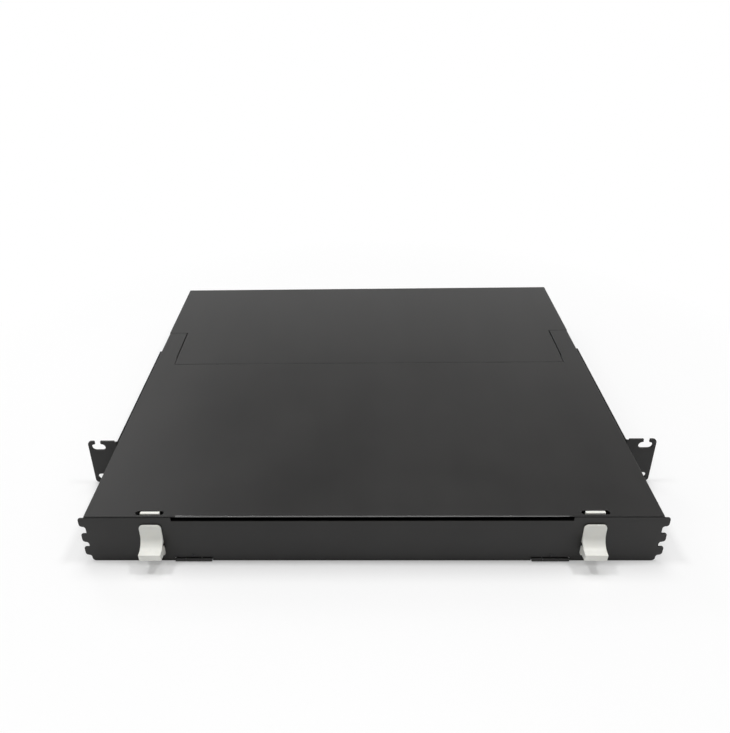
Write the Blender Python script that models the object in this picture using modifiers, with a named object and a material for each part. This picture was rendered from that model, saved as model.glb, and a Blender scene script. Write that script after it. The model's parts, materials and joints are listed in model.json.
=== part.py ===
"""Rack patch panel, one unit high, for fibre cassettes.

The body is a folded steel chassis with a two-part lid. Three trays slide in the
chassis, and each carries four fibre cassettes. The mounting ears sit back from the
front, so the front holds a cable space with open sides. A door with toothed ends
closes it, hinged along the bottom and held by two sprung latches whose tongues
rise into slots in the lid.

The panel is drawn from the door's front face at Y = 0, with +Y to the rear and
Z = 0 at the underside. One empty then moves everything, so that the origin lies
under the middle of the finished panel.
"""

import math

import bmesh
import bpy
from mathutils import Matrix, Vector

MM = 0.001
SNAP_DIGITS = 6
WELD_DISTANCE = 0.00001
FLAT_ANGLE = 0.001
DRAWN_ANGLE = 0.83
SMOOTH_ANGLE = 40.0
CUT_MARGIN = 1.0 * MM
BEND_STEPS = 3
ROUND_STEPS = 4
SLOT_STEPS = 6
SMALL_ROUND_STEPS = 10
RING_STEPS = 16
ENTRY_STEPS = 20

# Overall sizes
EAR_SPAN = 482.6 * MM
BODY_DEPTH = 410.0 * MM
PANEL_HEIGHT = 44.4 * MM
SHEET = 1.2 * MM
GAP = 0.3 * MM
BEND_RADIUS = 2.0 * MM

# Ears
EAR_REACH = 27.3 * MM
EAR_HEIGHT = 43.6 * MM
EAR_SETBACK = 95.4 * MM
BRACKET_SHEET = 2.0 * MM
BRACKET_LENGTH = 162.6 * MM
LEG_SCREW_FRONT = 16.0 * MM
LEG_SCREW_REAR = 14.0 * MM
LEG_MARGIN = 1.0 * MM
SLOT_INSET = 8.75 * MM
SLOT_SPACING_UP = 31.75 * MM
SLOT_LENGTH = 12.0 * MM
SLOT_WIDTH = 6.5 * MM
SLOT_MOUTH = 5.2 * MM
SLOT_MOUTH_SHIFT = 0.4 * MM
EAR_CORNER = 3.0 * MM

# Lid
SEAM_Y = 227.5 * MM
ARM_LENGTH = 68.5 * MM
ARM_WIDTH = 18.5 * MM
ARM_JOG = 1.0 * MM
ARM_JOG_LENGTH = 12.5 * MM
REAR_LID_STEP = 0.5 * MM
LID_FLANGE = 8.0 * MM
LID_FLANGE_SETBACK = 1.6 * MM
SEAM_SHELF = 12.0 * MM
SEAM_SHELF_INSET = 24.0 * MM

# Door
DOOR_SHEET = 1.2 * MM
DOOR_BOTTOM = 0.1 * MM
DOOR_OVERHANG = 0.6 * MM
DOOR_RECESS_INSET = 65.0 * MM
DOOR_RECESS = 3.3 * MM
DOOR_CORNER = 2.6 * MM
TOOTH_REACH = 4.4 * MM
TOOTH_HEIGHT = 8.2 * MM
TOOTH_DROPS = (28.8 * MM, 15.7 * MM, 0.7 * MM)
TOOTH_TOP_ROUND = 1.8 * MM
TOOTH_BOTTOM_ROUND = 2.3 * MM
TOOTH_FILLET = 1.9 * MM

# Door hinges
HINGE_INSET = 78.0 * MM
HINGE_AXIS_Y = -0.2 * MM
KNUCKLE_RADIUS = 1.5 * MM
KNUCKLE_OUTER = 14.0 * MM
KNUCKLE_MIDDLE = 5.7 * MM
PIN_RADIUS = 0.6 * MM
PAN_FRONT_Y = 3.6 * MM
LEAF_SHEET = 0.8 * MM
LEAF_TOP = 11.0 * MM
LEAF_CURL_START = -40.0
LEAF_CURL_END = -300.0
RIVET_RISE = 5.6 * MM
RIVET_RADIUS = 0.8 * MM
RIVET_HEAD = 1.5 * MM
RIVET_HEAD_HEIGHT = 0.5 * MM

# Latches
LATCH_INSET = 48.8 * MM
LATCH_WIDTH = 16.8 * MM
LATCH_TOP = 36.7 * MM
LATCH_FOOT = 8.4 * MM
LATCH_FACE = 1.8 * MM
LATCH_REACH = 13.6 * MM
LATCH_SWEEP = 9.2 * MM
LATCH_LIP_TOP = 18.2 * MM
LATCH_LIP_BOTTOM = 12.2 * MM
LATCH_CROWN_ROUND = 0.8 * MM
LATCH_LIP_ROUND = 1.0 * MM
LATCH_LIP_END = 260.0
LATCH_SWEEP_STEPS = 9
LATCH_FOOT_REACH = 3.0 * MM
LATCH_HOLLOW = 2.4 * MM
LATCH_HOLLOW_SLOPE = 0.6 * MM
LATCH_HOLLOW_BOTTOM = 15.9 * MM
LATCH_HOLLOW_TOP = 18.3 * MM
LATCH_TRAVEL = 4.0 * MM
LATCH_CORNER = 3.0 * MM
TONGUE_WIDTH = 14.5 * MM
TONGUE_THICKNESS = 2.7 * MM
TONGUE_SHORTFALL = 0.2 * MM
TONGUE_CORNER = 1.6 * MM
NECK_WIDTH = 9.4 * MM
NECK_BOTTOM = 24.2 * MM
NECK_HEIGHT = 4.8 * MM
CARRIAGE_BOTTOM = 20.0 * MM
CARRIAGE_THICKNESS = 2.1 * MM
LID_SLOT_LENGTH = 21.2 * MM
LID_SLOT_WIDTH = 4.4 * MM
LID_SLOT_FRONT = 1.8 * MM
KEEPER_BOTTOM = 12.0 * MM
KEEPER_TOP = 28.0 * MM
KEEPER_SHEET = 1.0 * MM
KEEPER_FLANGE = 4.0 * MM
KEEPER_LIP = 3.0 * MM
SPRING_WIRE = 0.25 * MM
SPRING_RADIUS = 0.8 * MM
SPRING_TURNS = 5
SPRING_STEPS = 8

# Trays and rails
TRAY_COUNT = 3
TIER_PITCH = 13.4 * MM
TRAY_SHEET = 1.0 * MM
TRAY_LEAD = 1.4 * MM
TRAY_DEPTH = 151.0 * MM
RAIL_SETBACK = 2.4 * MM
RAIL_TAIL = 29.8 * MM
RAIL_WEB = 3.6 * MM
RAIL_LEDGE = 4.0 * MM
RAIL_LEDGE_THICKNESS = 1.5 * MM
RAIL_SCREW_SETBACK = 9.0 * MM
RAIL_SCREW_DROP = 4.0 * MM
TRAY_EDGE_GAP = 0.4 * MM
TRAY_TAB = 7.0 * MM
PULL_REACH = 10.0 * MM
PULL_WIDTH = 9.0 * MM
PULL_THICKNESS = 1.6 * MM
PULL_INSET = 4.5 * MM
TRAY_SLOT_LENGTH = 12.0 * MM
TRAY_SLOT_WIDTH = 3.0 * MM
TRAY_SLOTS = 8

# Cassettes
CASSETTES = 4
CASSETTE_MARGIN = 6.5 * MM
CASSETTE_SETBACK = 0.6 * MM
CASSETTE_DEPTH = 108.0 * MM
CASSETTE_WALL = 0.9 * MM
CASSETTE_HEIGHT = 11.8 * MM
CASSETTE_REAR_CHAMFER = 8.0 * MM
GUIDE_STEM = 1.0 * MM
GUIDE_HEAD = 4.6 * MM
GUIDE_HEAD_THICKNESS = 0.9 * MM
PORT_PITCH = 15.0 * MM
ADAPTER_WIDTH = 12.8 * MM
ADAPTER_PROUD = 2.0 * MM
PORT_SIZE = 4.7 * MM
PORT_SPACING = 6.25 * MM
SHUTTER_DEPTH = 1.4 * MM
TRUNK_WIDTH = 12.4 * MM
TRUNK_PROUD = 11.0 * MM
CAP_WIDTH = 9.6 * MM
CAP_HEIGHT = 6.4 * MM
CAP_LENGTH = 6.0 * MM

# Rear
REAR_FLANGE = 12.0 * MM
ENTRY_RADIUS = 13.0 * MM
ENTRY_RISE = 19.0 * MM
ENTRY_INSETS = (64.0 * MM, 124.0 * MM)
GROMMET_LIP = 2.0 * MM
GROMMET_LIP_THICKNESS = 2.0 * MM
GROMMET_BORE = 8.5 * MM
TIE_BAR_SETBACK = 78.5 * MM
TIE_BAR_WIDTH = 14.0 * MM
TIE_BAR_HEIGHT = 14.0 * MM
TIE_BAR_INSET = 64.0 * MM
TIE_SLOTS = 8
TIE_SLOT_MARGIN = 14.0 * MM
TIE_SLOT_LENGTH = 7.0 * MM
TIE_SLOT_WIDTH = 3.0 * MM
STUD_INSET = 24.0 * MM
STUD_RISE = 15.0 * MM
STUD_RADIUS = 3.0 * MM
STUD_REACH = 9.0 * MM
NUT_RADIUS = 5.8 * MM
NUT_HEIGHT = 4.0 * MM

# Screws
SCREW_RADIUS = 1.5 * MM
SCREW_HEAD = 2.9 * MM
SCREW_HEAD_HEIGHT = 1.1 * MM
SCREW_CHAMFER = 0.5 * MM
SCREW_RIM = 0.3 * MM
SCREW_SINK = 1.6 * MM
SCREW_STEPS = 8
SCREW_BITE = 2.5 * MM
LOWER_SCREW_Z = 9.0 * MM
REAR_SCREW_INSET = 34.0 * MM
FLOOR_SCREW_INSETS = (24.0 * MM, 164.0 * MM)
TIE_SCREW_INSET = 30.0 * MM
HINGE_STEPS = 12

# Worked out from the sizes above
HALF_BODY = EAR_SPAN / 2 - EAR_REACH
ARM_END_Y = SEAM_Y + ARM_LENGTH
ARM_INNER_X = HALF_BODY - ARM_WIDTH
ARM_JOG_Y = SEAM_Y + ARM_JOG_LENGTH
SEAM_SHELF_X = HALF_BODY - SEAM_SHELF_INSET
REAR_LID_X = HALF_BODY + REAR_LID_STEP
LID_FRONT_FLANGE_Y = EAR_SETBACK + LID_FLANGE_SETBACK
DOOR_BASE_X = HALF_BODY + DOOR_OVERHANG
DOOR_RECESS_X = HALF_BODY - DOOR_RECESS_INSET
HINGE_X = HALF_BODY - HINGE_INSET
LATCH_X = HALF_BODY - LATCH_INSET
TRAY_FRONT_Y = EAR_SETBACK - TRAY_LEAD
CASSETTE_FRONT_Y = EAR_SETBACK + CASSETTE_SETBACK
RAIL_FRONT_Y = EAR_SETBACK + RAIL_SETBACK
RAIL_END_Y = EAR_SETBACK + BRACKET_LENGTH + RAIL_TAIL
ENTRY_XS = [side * (HALF_BODY - inset) for side in (-1, 1) for inset in ENTRY_INSETS[::-side]]
STUD_X = HALF_BODY - STUD_INSET
LID_BOTTOM = PANEL_HEIGHT - SHEET
WALL_TOP = LID_BOTTOM - GAP
WALL_INNER = HALF_BODY - SHEET
FLANGE_OUTER = WALL_INNER - GAP
FLANGE_INNER = FLANGE_OUTER - SHEET
REAR_PANEL_Y = BODY_DEPTH - SHEET - GAP
BRACKET_INNER = HALF_BODY + GAP
BRACKET_OUTER = BRACKET_INNER + BRACKET_SHEET
EAR_MIDDLE = PANEL_HEIGHT / 2
EAR_BOTTOM = EAR_MIDDLE - EAR_HEIGHT / 2
HINGE_AXIS_Z = KNUCKLE_RADIUS
PIN_HOLE = PIN_RADIUS + GAP
DOOR_TOP = LID_BOTTOM - GAP
SCREW_HOLE = SCREW_RADIUS + GAP
RAIL_INNER = FLANGE_OUTER - RAIL_WEB
TRAY_EDGE_X = RAIL_INNER - TRAY_EDGE_GAP
CASSETTE_PITCH = 2 * (TRAY_EDGE_X - CASSETTE_MARGIN) / CASSETTES
PORTS = math.floor(CASSETTE_PITCH / PORT_PITCH)
TRAY_BOTTOM = SHEET + GAP
TONGUE_REAR = LID_SLOT_FRONT + LID_SLOT_WIDTH - GAP
TONGUE_FRONT = TONGUE_REAR - TONGUE_THICKNESS
TONGUE_TOP = PANEL_HEIGHT - TONGUE_SHORTFALL
DOOR_INSIDE = DOOR_SHEET + GAP
MIDDLE_Y = (REAR_PANEL_Y + STUD_REACH - LATCH_REACH) / 2
LEG_SCREW_YS = (EAR_SETBACK + LEG_SCREW_FRONT, EAR_SETBACK + BRACKET_LENGTH - LEG_SCREW_REAR)
UPPER_SCREW_Z = WALL_TOP - LID_FLANGE / 2
LEG_SCREW_PLACES = [(y, z) for y in LEG_SCREW_YS for z in (LOWER_SCREW_Z, UPPER_SCREW_Z)]
RAIL_SCREW_Y = RAIL_END_Y - RAIL_SCREW_SETBACK
RAIL_SCREW_ZS = (LOWER_SCREW_Z, LOWER_SCREW_Z + 2 * TIER_PITCH - RAIL_SCREW_DROP)
REAR_SCREW_Z = LID_BOTTOM - LID_FLANGE / 2
REAR_SCREW_XS = (REAR_SCREW_INSET - HALF_BODY, 0.0, HALF_BODY - REAR_SCREW_INSET)
FLOOR_SCREW_XS = [side * (HALF_BODY - inset) for side in (-1, 1) for inset in FLOOR_SCREW_INSETS]
FLOOR_SCREW_Y = REAR_PANEL_Y - REAR_FLANGE / 2
TIE_BAR_Y = REAR_PANEL_Y - TIE_BAR_SETBACK
TIE_BAR_END = HALF_BODY - TIE_BAR_INSET
TIE_SLOT_PITCH = 2 * (TIE_BAR_END - TIE_SLOT_MARGIN) / TIE_SLOTS
TIE_SCREW_XS = (TIE_SCREW_INSET - TIE_BAR_END, 0.0, TIE_BAR_END - TIE_SCREW_INSET)
TIE_SCREW_Y = TIE_BAR_Y + TIE_BAR_WIDTH / 4

for leftover in list(bpy.data.objects):
    bpy.data.objects.remove(leftover)

parts = bpy.data.collections.new("mpo_patch_panel")
cutters = bpy.data.collections.new("cutters")
bpy.context.scene.collection.children.link(parts)
bpy.context.scene.collection.children.link(cutters)

origin = bpy.data.objects.new("panel_origin", None)
origin.location = (0.0, -MIDDLE_Y, 0.0)
parts.objects.link(origin)


def make_material(name, colour, roughness, metallic):
    """A Principled material of one colour."""
    material = bpy.data.materials.new(name)
    material.use_nodes = True
    shader = material.node_tree.nodes["Principled BSDF"]
    shader.inputs["Base Color"].default_value = (*colour, 1.0)
    shader.inputs["Roughness"].default_value = roughness
    shader.inputs["Metallic"].default_value = metallic
    return material


BLACK_COAT = make_material("black_powder_coat", (0.045, 0.045, 0.046), 0.45, 0.0)
WHITE_PLASTIC = make_material("white_plastic", (0.78, 0.78, 0.74), 0.4, 0.0)
BLACK_PLASTIC = make_material("black_plastic", (0.03, 0.03, 0.032), 0.5, 0.0)
GREY_PLASTIC = make_material("grey_plastic", (0.35, 0.36, 0.37), 0.5, 0.0)
RUBBER = make_material("rubber", (0.02, 0.02, 0.02), 0.8, 0.0)
ZINC = make_material("zinc", (0.55, 0.56, 0.58), 0.35, 1.0)
STEEL = make_material("steel", (0.6, 0.6, 0.6), 0.3, 1.0)
BLACK_SCREW = make_material("black_screw", (0.03, 0.03, 0.03), 0.4, 0.8)


def arc(centre, radius, start, end, steps):
    """Points on a circle from one angle to another, in degrees."""
    points = []
    for step in range(steps + 1):
        angle = math.radians(start + (end - start) * step / steps)
        points.append((centre[0] + radius * math.cos(angle), centre[1] + radius * math.sin(angle)))
    return points


def circle(centre, radius, steps):
    """A closed ring of points."""
    return arc(centre, radius, 0, 360, steps)[:-1]


def rectangle(low, high):
    """The four corners of a rectangle."""
    return [(low[0], low[1]), (high[0], low[1]), (high[0], high[1]), (low[0], high[1])]


def mirrored(points):
    """The same points on the other side of the middle, in the order that closes the outline."""
    return [(-x, y) for x, y in reversed(points)]


def mesh_object(name, mesh, material):
    """An object in the panel's own space, carried by the origin empty."""
    piece = bpy.data.objects.new(name, mesh)
    piece.parent = origin
    parts.objects.link(piece)
    if material is not None:
        mesh.materials.clear()
        mesh.materials.append(material)
    return piece


def evaluated_mesh(piece):
    """A mesh of the object with its modifiers applied."""
    bpy.context.view_layer.update()
    graph = bpy.context.evaluated_depsgraph_get()
    return bpy.data.meshes.new_from_object(piece.evaluated_get(graph))


def snap(mesh):
    """Round every corner to a thousandth of a millimetre, so that faces meant to be level are level."""
    for vertex in mesh.vertices:
        vertex.co = [round(value, SNAP_DIGITS) for value in vertex.co]


PLANE_TURNS = {
    "XY": Matrix(((1, 0, 0, 0), (0, 1, 0, 0), (0, 0, 1, 0), (0, 0, 0, 1))),
    "XZ": Matrix(((1, 0, 0, 0), (0, 0, -1, 0), (0, 1, 0, 0), (0, 0, 0, 1))),
    "YZ": Matrix(((0, 0, 1, 0), (1, 0, 0, 0), (0, 1, 0, 0), (0, 0, 0, 1))),
}
# Outlines are filled a little askew, because corners on one level line give the fill flat triangles
DRAWN_TURN = Matrix.Rotation(DRAWN_ANGLE, 4, "Z")
PLANE_NORMALS = {"XY": Vector((0, 0, 1)), "XZ": Vector((0, 1, 0)), "YZ": Vector((1, 0, 0))}


def plate_mesh(name, outlines, plane, low, high):
    """A flat outline with holes, made thick between two levels of its plane's normal."""
    curve = bpy.data.curves.new(name, "CURVE")
    curve.dimensions = "2D"
    curve.fill_mode = "BOTH"
    curve.extrude = (high - low) / 2
    for outline in outlines:
        spline = curve.splines.new("POLY")
        spline.points.add(len(outline) - 1)
        for point, (across, up) in zip(spline.points, outline):
            point.co = (*(DRAWN_TURN @ Vector((across, up, 0.0))), 1.0)
        spline.use_cyclic_u = True
    drawn = bpy.data.objects.new(name, curve)
    bpy.context.scene.collection.objects.link(drawn)
    mesh = evaluated_mesh(drawn)
    bpy.data.objects.remove(drawn)
    middle = PLANE_NORMALS[plane] * (low + high) / 2
    mesh.transform(Matrix.Translation(middle) @ PLANE_TURNS[plane] @ DRAWN_TURN.inverted())
    shell = bmesh.new()
    shell.from_mesh(mesh)
    bmesh.ops.remove_doubles(shell, verts=shell.verts, dist=WELD_DISTANCE)
    bmesh.ops.recalc_face_normals(shell, faces=shell.faces)
    bmesh.ops.dissolve_limit(shell, angle_limit=FLAT_ANGLE, verts=shell.verts, edges=shell.edges)
    bmesh.ops.triangulate(shell, faces=shell.faces)
    shell.to_mesh(mesh)
    shell.free()
    snap(mesh)
    return mesh


def plate(name, outlines, plane, low, high, material=None):
    """A plate as an object."""
    return mesh_object(name, plate_mesh(name, outlines, plane, low, high), material)


def block(name, low, high, material=None):
    """A box between two corners."""
    shell = bmesh.new()
    bmesh.ops.create_cube(shell, size=1.0)
    size = Vector(high) - Vector(low)
    middle = (Vector(high) + Vector(low)) / 2
    place = Matrix.Translation(middle) @ Matrix.Diagonal((*size, 1.0))
    bmesh.ops.transform(shell, matrix=place, verts=shell.verts)
    mesh = bpy.data.meshes.new(name)
    shell.to_mesh(mesh)
    shell.free()
    snap(mesh)
    return mesh_object(name, mesh, material)


def turned_mesh(name, profile, steps):
    """A profile of radius and height turned about Z, from the axis on top to the axis below."""
    mesh = bpy.data.meshes.new(name)
    rows = [(radius, 0.0, height) for radius, height in profile]
    edges = [(row, row + 1) for row in range(len(rows) - 1)]
    if profile[0][0] > 0.0:
        edges.append((len(rows) - 1, 0))
    mesh.from_pydata(rows, edges, [])
    drawn = bpy.data.objects.new(name, mesh)
    bpy.context.scene.collection.objects.link(drawn)
    screw = drawn.modifiers.new("turn", "SCREW")
    screw.steps = steps
    screw.render_steps = steps
    screw.use_merge_vertices = True
    screw.merge_threshold = WELD_DISTANCE
    turned = evaluated_mesh(drawn)
    bpy.data.objects.remove(drawn)
    shell = bmesh.new()
    shell.from_mesh(turned)
    bmesh.ops.recalc_face_normals(shell, faces=shell.faces)
    shell.to_mesh(turned)
    shell.free()
    turned.shade_smooth()
    turned.set_sharp_from_angle(angle=math.radians(SMOOTH_ANGLE))
    return turned


def turned(name, mesh, place):
    """A turned mesh as a tool for joining."""
    return copy_at(name, mesh.copy(), place, None)


def boolean(target, tool, operation):
    """Cut or join with an EXACT Boolean that stays live on the target."""
    parts.objects.unlink(tool)
    cutters.objects.link(tool)
    tool.hide_render = True
    tool.display_type = "WIRE"
    modifier = target.modifiers.new(operation.lower(), "BOOLEAN")
    modifier.operation = operation
    modifier.solver = "EXACT"
    modifier.object = tool


def cut(target, tool):
    """Take the tool's shape out of the target."""
    boolean(target, tool, "DIFFERENCE")


def join(target, tool):
    """Add the tool's shape to the target."""
    boolean(target, tool, "UNION")


def settle(piece):
    """Apply a piece's Booleans, so that its mesh can be repeated elsewhere."""
    mesh = evaluated_mesh(piece)
    tools = [modifier.object for modifier in piece.modifiers]
    piece.modifiers.clear()
    piece.data = mesh
    for tool in tools:
        bpy.data.objects.remove(tool)
    return mesh


def copy_at(name, mesh, place, material):
    """An object that shares a mesh and stands at a place of its own."""
    piece = mesh_object(name, mesh, material)
    piece.matrix_local = place
    return piece


def carry(piece, carrier):
    """Parent a piece to the empty that its joint moves, and leave it where it is."""
    piece.parent = carrier
    piece.matrix_parent_inverse = Matrix.Translation(-carrier.location)


def joint_empty(name, point):
    """An empty on a joint's axis."""
    empty = bpy.data.objects.new(name, None)
    empty.location = point
    empty.parent = origin
    parts.objects.link(empty)
    return empty


def facing(axis):
    """The turn that points a fastener's head along an axis."""
    return Vector(axis).to_track_quat("Z", "Y").to_matrix().to_4x4()


def placed(point, axis):
    """The place of a fastener whose head's underside is at the point."""
    return Matrix.Translation(Vector(point)) @ facing(axis)


def screw_mesh(name, shank):
    """A low pan-head screw with its head's underside at Z = 0."""
    profile = [
        (0.0, SCREW_HEAD_HEIGHT),
        (SCREW_HEAD - SCREW_CHAMFER, SCREW_HEAD_HEIGHT),
        (SCREW_HEAD, SCREW_HEAD_HEIGHT - SCREW_CHAMFER),
        (SCREW_HEAD, 0.0),
        (SCREW_RADIUS, 0.0),
        (SCREW_RADIUS, -shank),
        (0.0, -shank),
    ]
    return turned_mesh(name, profile, SCREW_STEPS)


def flush_screw_mesh(name, shank):
    """A countersunk screw with the top of its head at Z = 0."""
    profile = [
        (0.0, 0.0),
        (SCREW_HEAD, 0.0),
        (SCREW_HEAD, -SCREW_RIM),
        (SCREW_RADIUS, -SCREW_SINK),
        (SCREW_RADIUS, -shank),
        (0.0, -shank),
    ]
    return turned_mesh(name, profile, SCREW_STEPS)


def sink_mesh():
    """The shape that sinks a countersunk screw's head into an ear's leg."""
    profile = [
        (0.0, CUT_MARGIN),
        (SCREW_HEAD + GAP, CUT_MARGIN),
        (SCREW_HEAD + GAP, -SCREW_RIM),
        (SCREW_HOLE, -SCREW_SINK),
        (SCREW_HOLE, -BRACKET_SHEET - CUT_MARGIN),
        (0.0, -BRACKET_SHEET - CUT_MARGIN),
    ]
    return turned_mesh("sink", profile, SCREW_STEPS)


def side_holes(name, places, inner, outer):
    """Cutters for holes along X, at Y and Z places."""
    return plate(name, [circle(place, SCREW_HOLE, SCREW_STEPS) for place in places], "YZ", inner, outer)


def build_chassis():
    """The folded pan: floor and side walls of one sheet, with the fixed hinge knuckles in front."""
    corner = (HALF_BODY - BEND_RADIUS, BEND_RADIUS)
    half = arc(corner, BEND_RADIUS, -90, 0, BEND_STEPS) + [(HALF_BODY, WALL_TOP), (WALL_INNER, WALL_TOP)]
    half += arc(corner, BEND_RADIUS - SHEET, 0, -90, BEND_STEPS)
    section = half + mirrored(half)
    pan = plate("chassis_pan", [section], "XZ", PAN_FRONT_Y, REAR_PANEL_Y, BLACK_COAT)
    for side in (-1, 1):
        reach = sorted((side * (HALF_BODY - BEND_RADIUS), side * (HALF_BODY + CUT_MARGIN)))
        low = (reach[0], -CUT_MARGIN, -CUT_MARGIN)
        high = (reach[1], EAR_SETBACK - GAP, PANEL_HEIGHT)
        cut(pan, block("side_relief", low, high))
        for centre in (-HINGE_X, HINGE_X):
            ends = sorted((centre + side * (KNUCKLE_MIDDLE + GAP), centre + side * KNUCKLE_OUTER))
            join(pan, plate("knuckle", fixed_knuckle(), "YZ", ends[0], ends[1]))
        ends = sorted((side * (WALL_INNER - CUT_MARGIN), side * (HALF_BODY + CUT_MARGIN)))
        wall_places = LEG_SCREW_PLACES + [(RAIL_SCREW_Y, z) for z in RAIL_SCREW_ZS]
        cut(pan, side_holes("wall_holes", wall_places, ends[0], ends[1]))
    floor_places = [(x, FLOOR_SCREW_Y) for x in FLOOR_SCREW_XS] + [(x, TIE_SCREW_Y) for x in TIE_SCREW_XS]
    holes = [circle(place, SCREW_HOLE, SCREW_STEPS) for place in floor_places]
    cut(pan, plate("floor_holes", holes, "XY", -CUT_MARGIN, SHEET + CUT_MARGIN))
    return pan


def fixed_knuckle():
    """The curled end of a hinge tab on the pan, with its pin hole."""
    lift = math.degrees(math.asin((SHEET - HINGE_AXIS_Z) / KNUCKLE_RADIUS))
    axis = (HINGE_AXIS_Y, HINGE_AXIS_Z)
    root_y = PAN_FRONT_Y + SHEET
    curl = arc(axis, KNUCKLE_RADIUS, lift, 270, HINGE_STEPS)
    return [[(root_y, 0.0), (root_y, SHEET)] + curl, circle(axis, PIN_HOLE, HINGE_STEPS)]


def build_rear_panel():
    """The rear wall, with four round cable entries and a foot flange."""
    low = (-FLANGE_OUTER, SHEET + GAP)
    high = (FLANGE_OUTER, WALL_TOP)
    holes = [circle((x, ENTRY_RISE), ENTRY_RADIUS, ENTRY_STEPS) for x in ENTRY_XS]
    holes += [circle((x, REAR_SCREW_Z), SCREW_HOLE, SCREW_STEPS) for x in REAR_SCREW_XS]
    holes.append(circle((STUD_X, STUD_RISE), STUD_RADIUS + GAP, SCREW_STEPS))
    outlines = [rectangle(low, high)] + holes
    wall = plate("rear_panel", outlines, "XZ", REAR_PANEL_Y - SHEET, REAR_PANEL_Y, BLACK_COAT)
    foot_low = (-FLANGE_OUTER + BEND_RADIUS, REAR_PANEL_Y - REAR_FLANGE)
    foot_high = (FLANGE_OUTER - BEND_RADIUS, REAR_PANEL_Y - SHEET / 2)
    join(wall, plate("foot", [rectangle(foot_low, foot_high)], "XY", SHEET + GAP, 2 * SHEET + GAP))
    screw = screw_mesh("foot_screw", 2 * SHEET)
    for x in FLOOR_SCREW_XS:
        join(wall, turned("foot_screw", screw, placed((x, FLOOR_SCREW_Y, 2 * SHEET + GAP), (0, 0, 1))))
    return wall


def flange(name, side, front, rear):
    """A lid's turned-down side flange, which lies inside the side wall."""
    ends = sorted((side * FLANGE_INNER, side * FLANGE_OUTER))
    low = (ends[0], front, LID_BOTTOM - LID_FLANGE)
    return block(name, low, (ends[1], rear, LID_BOTTOM + SHEET / 2))


def build_front_cover():
    """The front half of the lid, with two rearward arms and the latch slots."""
    half = [
        (HALF_BODY, 0.0),
        (HALF_BODY, ARM_END_Y),
        (ARM_INNER_X, ARM_END_Y),
        (ARM_INNER_X, ARM_JOG_Y),
        (ARM_INNER_X - ARM_JOG, ARM_JOG_Y),
        (ARM_INNER_X - ARM_JOG, SEAM_Y),
    ]
    slots = []
    for side in (-1, 1):
        middle = (side * LATCH_X, LID_SLOT_FRONT + LID_SLOT_WIDTH / 2)
        slots.append(rounded_slot(middle, LID_SLOT_LENGTH, LID_SLOT_WIDTH))
    cover = plate("front_cover", [half + mirrored(half)] + slots, "XY", LID_BOTTOM, PANEL_HEIGHT, BLACK_COAT)
    shelf_top = LID_BOTTOM - GAP
    shelf_low = shelf_top - SHEET
    shelf = [
        (SEAM_Y - SEAM_SHELF, shelf_low),
        (SEAM_Y + SEAM_SHELF, shelf_low),
        (SEAM_Y + SEAM_SHELF, shelf_top),
        (SEAM_Y - 2 * GAP, shelf_top),
        (SEAM_Y - 2 * GAP, LID_BOTTOM + SHEET / 4),
        (SEAM_Y - SEAM_SHELF, LID_BOTTOM + SHEET / 4),
    ]
    join(cover, plate("seam_shelf", [shelf], "YZ", -SEAM_SHELF_X, SEAM_SHELF_X))
    for side in (-1, 1):
        join(cover, flange("front_flange", side, LID_FRONT_FLANGE_Y, ARM_END_Y - GAP))
        ends = sorted((side * (FLANGE_INNER - CUT_MARGIN), side * (FLANGE_OUTER + GAP / 2)))
        places = [(y, UPPER_SCREW_Z) for y in LEG_SCREW_YS]
        cut(cover, side_holes("flange_holes", places, ends[0], ends[1]))
    return cover


def rounded_slot(centre, length, width):
    """A slot along X with round ends."""
    reach = (length - width) / 2
    right = arc((centre[0] + reach, centre[1]), width / 2, -90, 90, SLOT_STEPS)
    left = arc((centre[0] - reach, centre[1]), width / 2, 90, 270, SLOT_STEPS)
    return right + left


def build_rear_cover():
    """The rear half of the lid, whose tongue lies between the front half's arms."""
    wide_gap = ARM_JOG - GAP / 2
    half = [
        (ARM_INNER_X - ARM_JOG - GAP, SEAM_Y + GAP),
        (ARM_INNER_X - ARM_JOG - GAP, ARM_JOG_Y + GAP),
        (ARM_INNER_X - wide_gap, ARM_JOG_Y + GAP),
        (ARM_INNER_X - wide_gap, ARM_END_Y + GAP),
        (REAR_LID_X, ARM_END_Y + GAP),
        (REAR_LID_X, BODY_DEPTH),
    ]
    cover = plate("rear_cover", [half + mirrored(half)], "XY", LID_BOTTOM, PANEL_HEIGHT, BLACK_COAT)
    screws = [circle((x, REAR_SCREW_Z), SCREW_HOLE, SCREW_STEPS) for x in REAR_SCREW_XS]
    skirt = rectangle((-REAR_LID_X, LID_BOTTOM - LID_FLANGE), (REAR_LID_X, LID_BOTTOM + SHEET / 2))
    join(cover, plate("rear_skirt", [skirt] + screws, "XZ", BODY_DEPTH - SHEET, BODY_DEPTH))
    for side in (-1, 1):
        join(cover, flange("rear_flange", side, ARM_END_Y + GAP, REAR_PANEL_Y - SHEET - GAP))
    return cover


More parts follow.
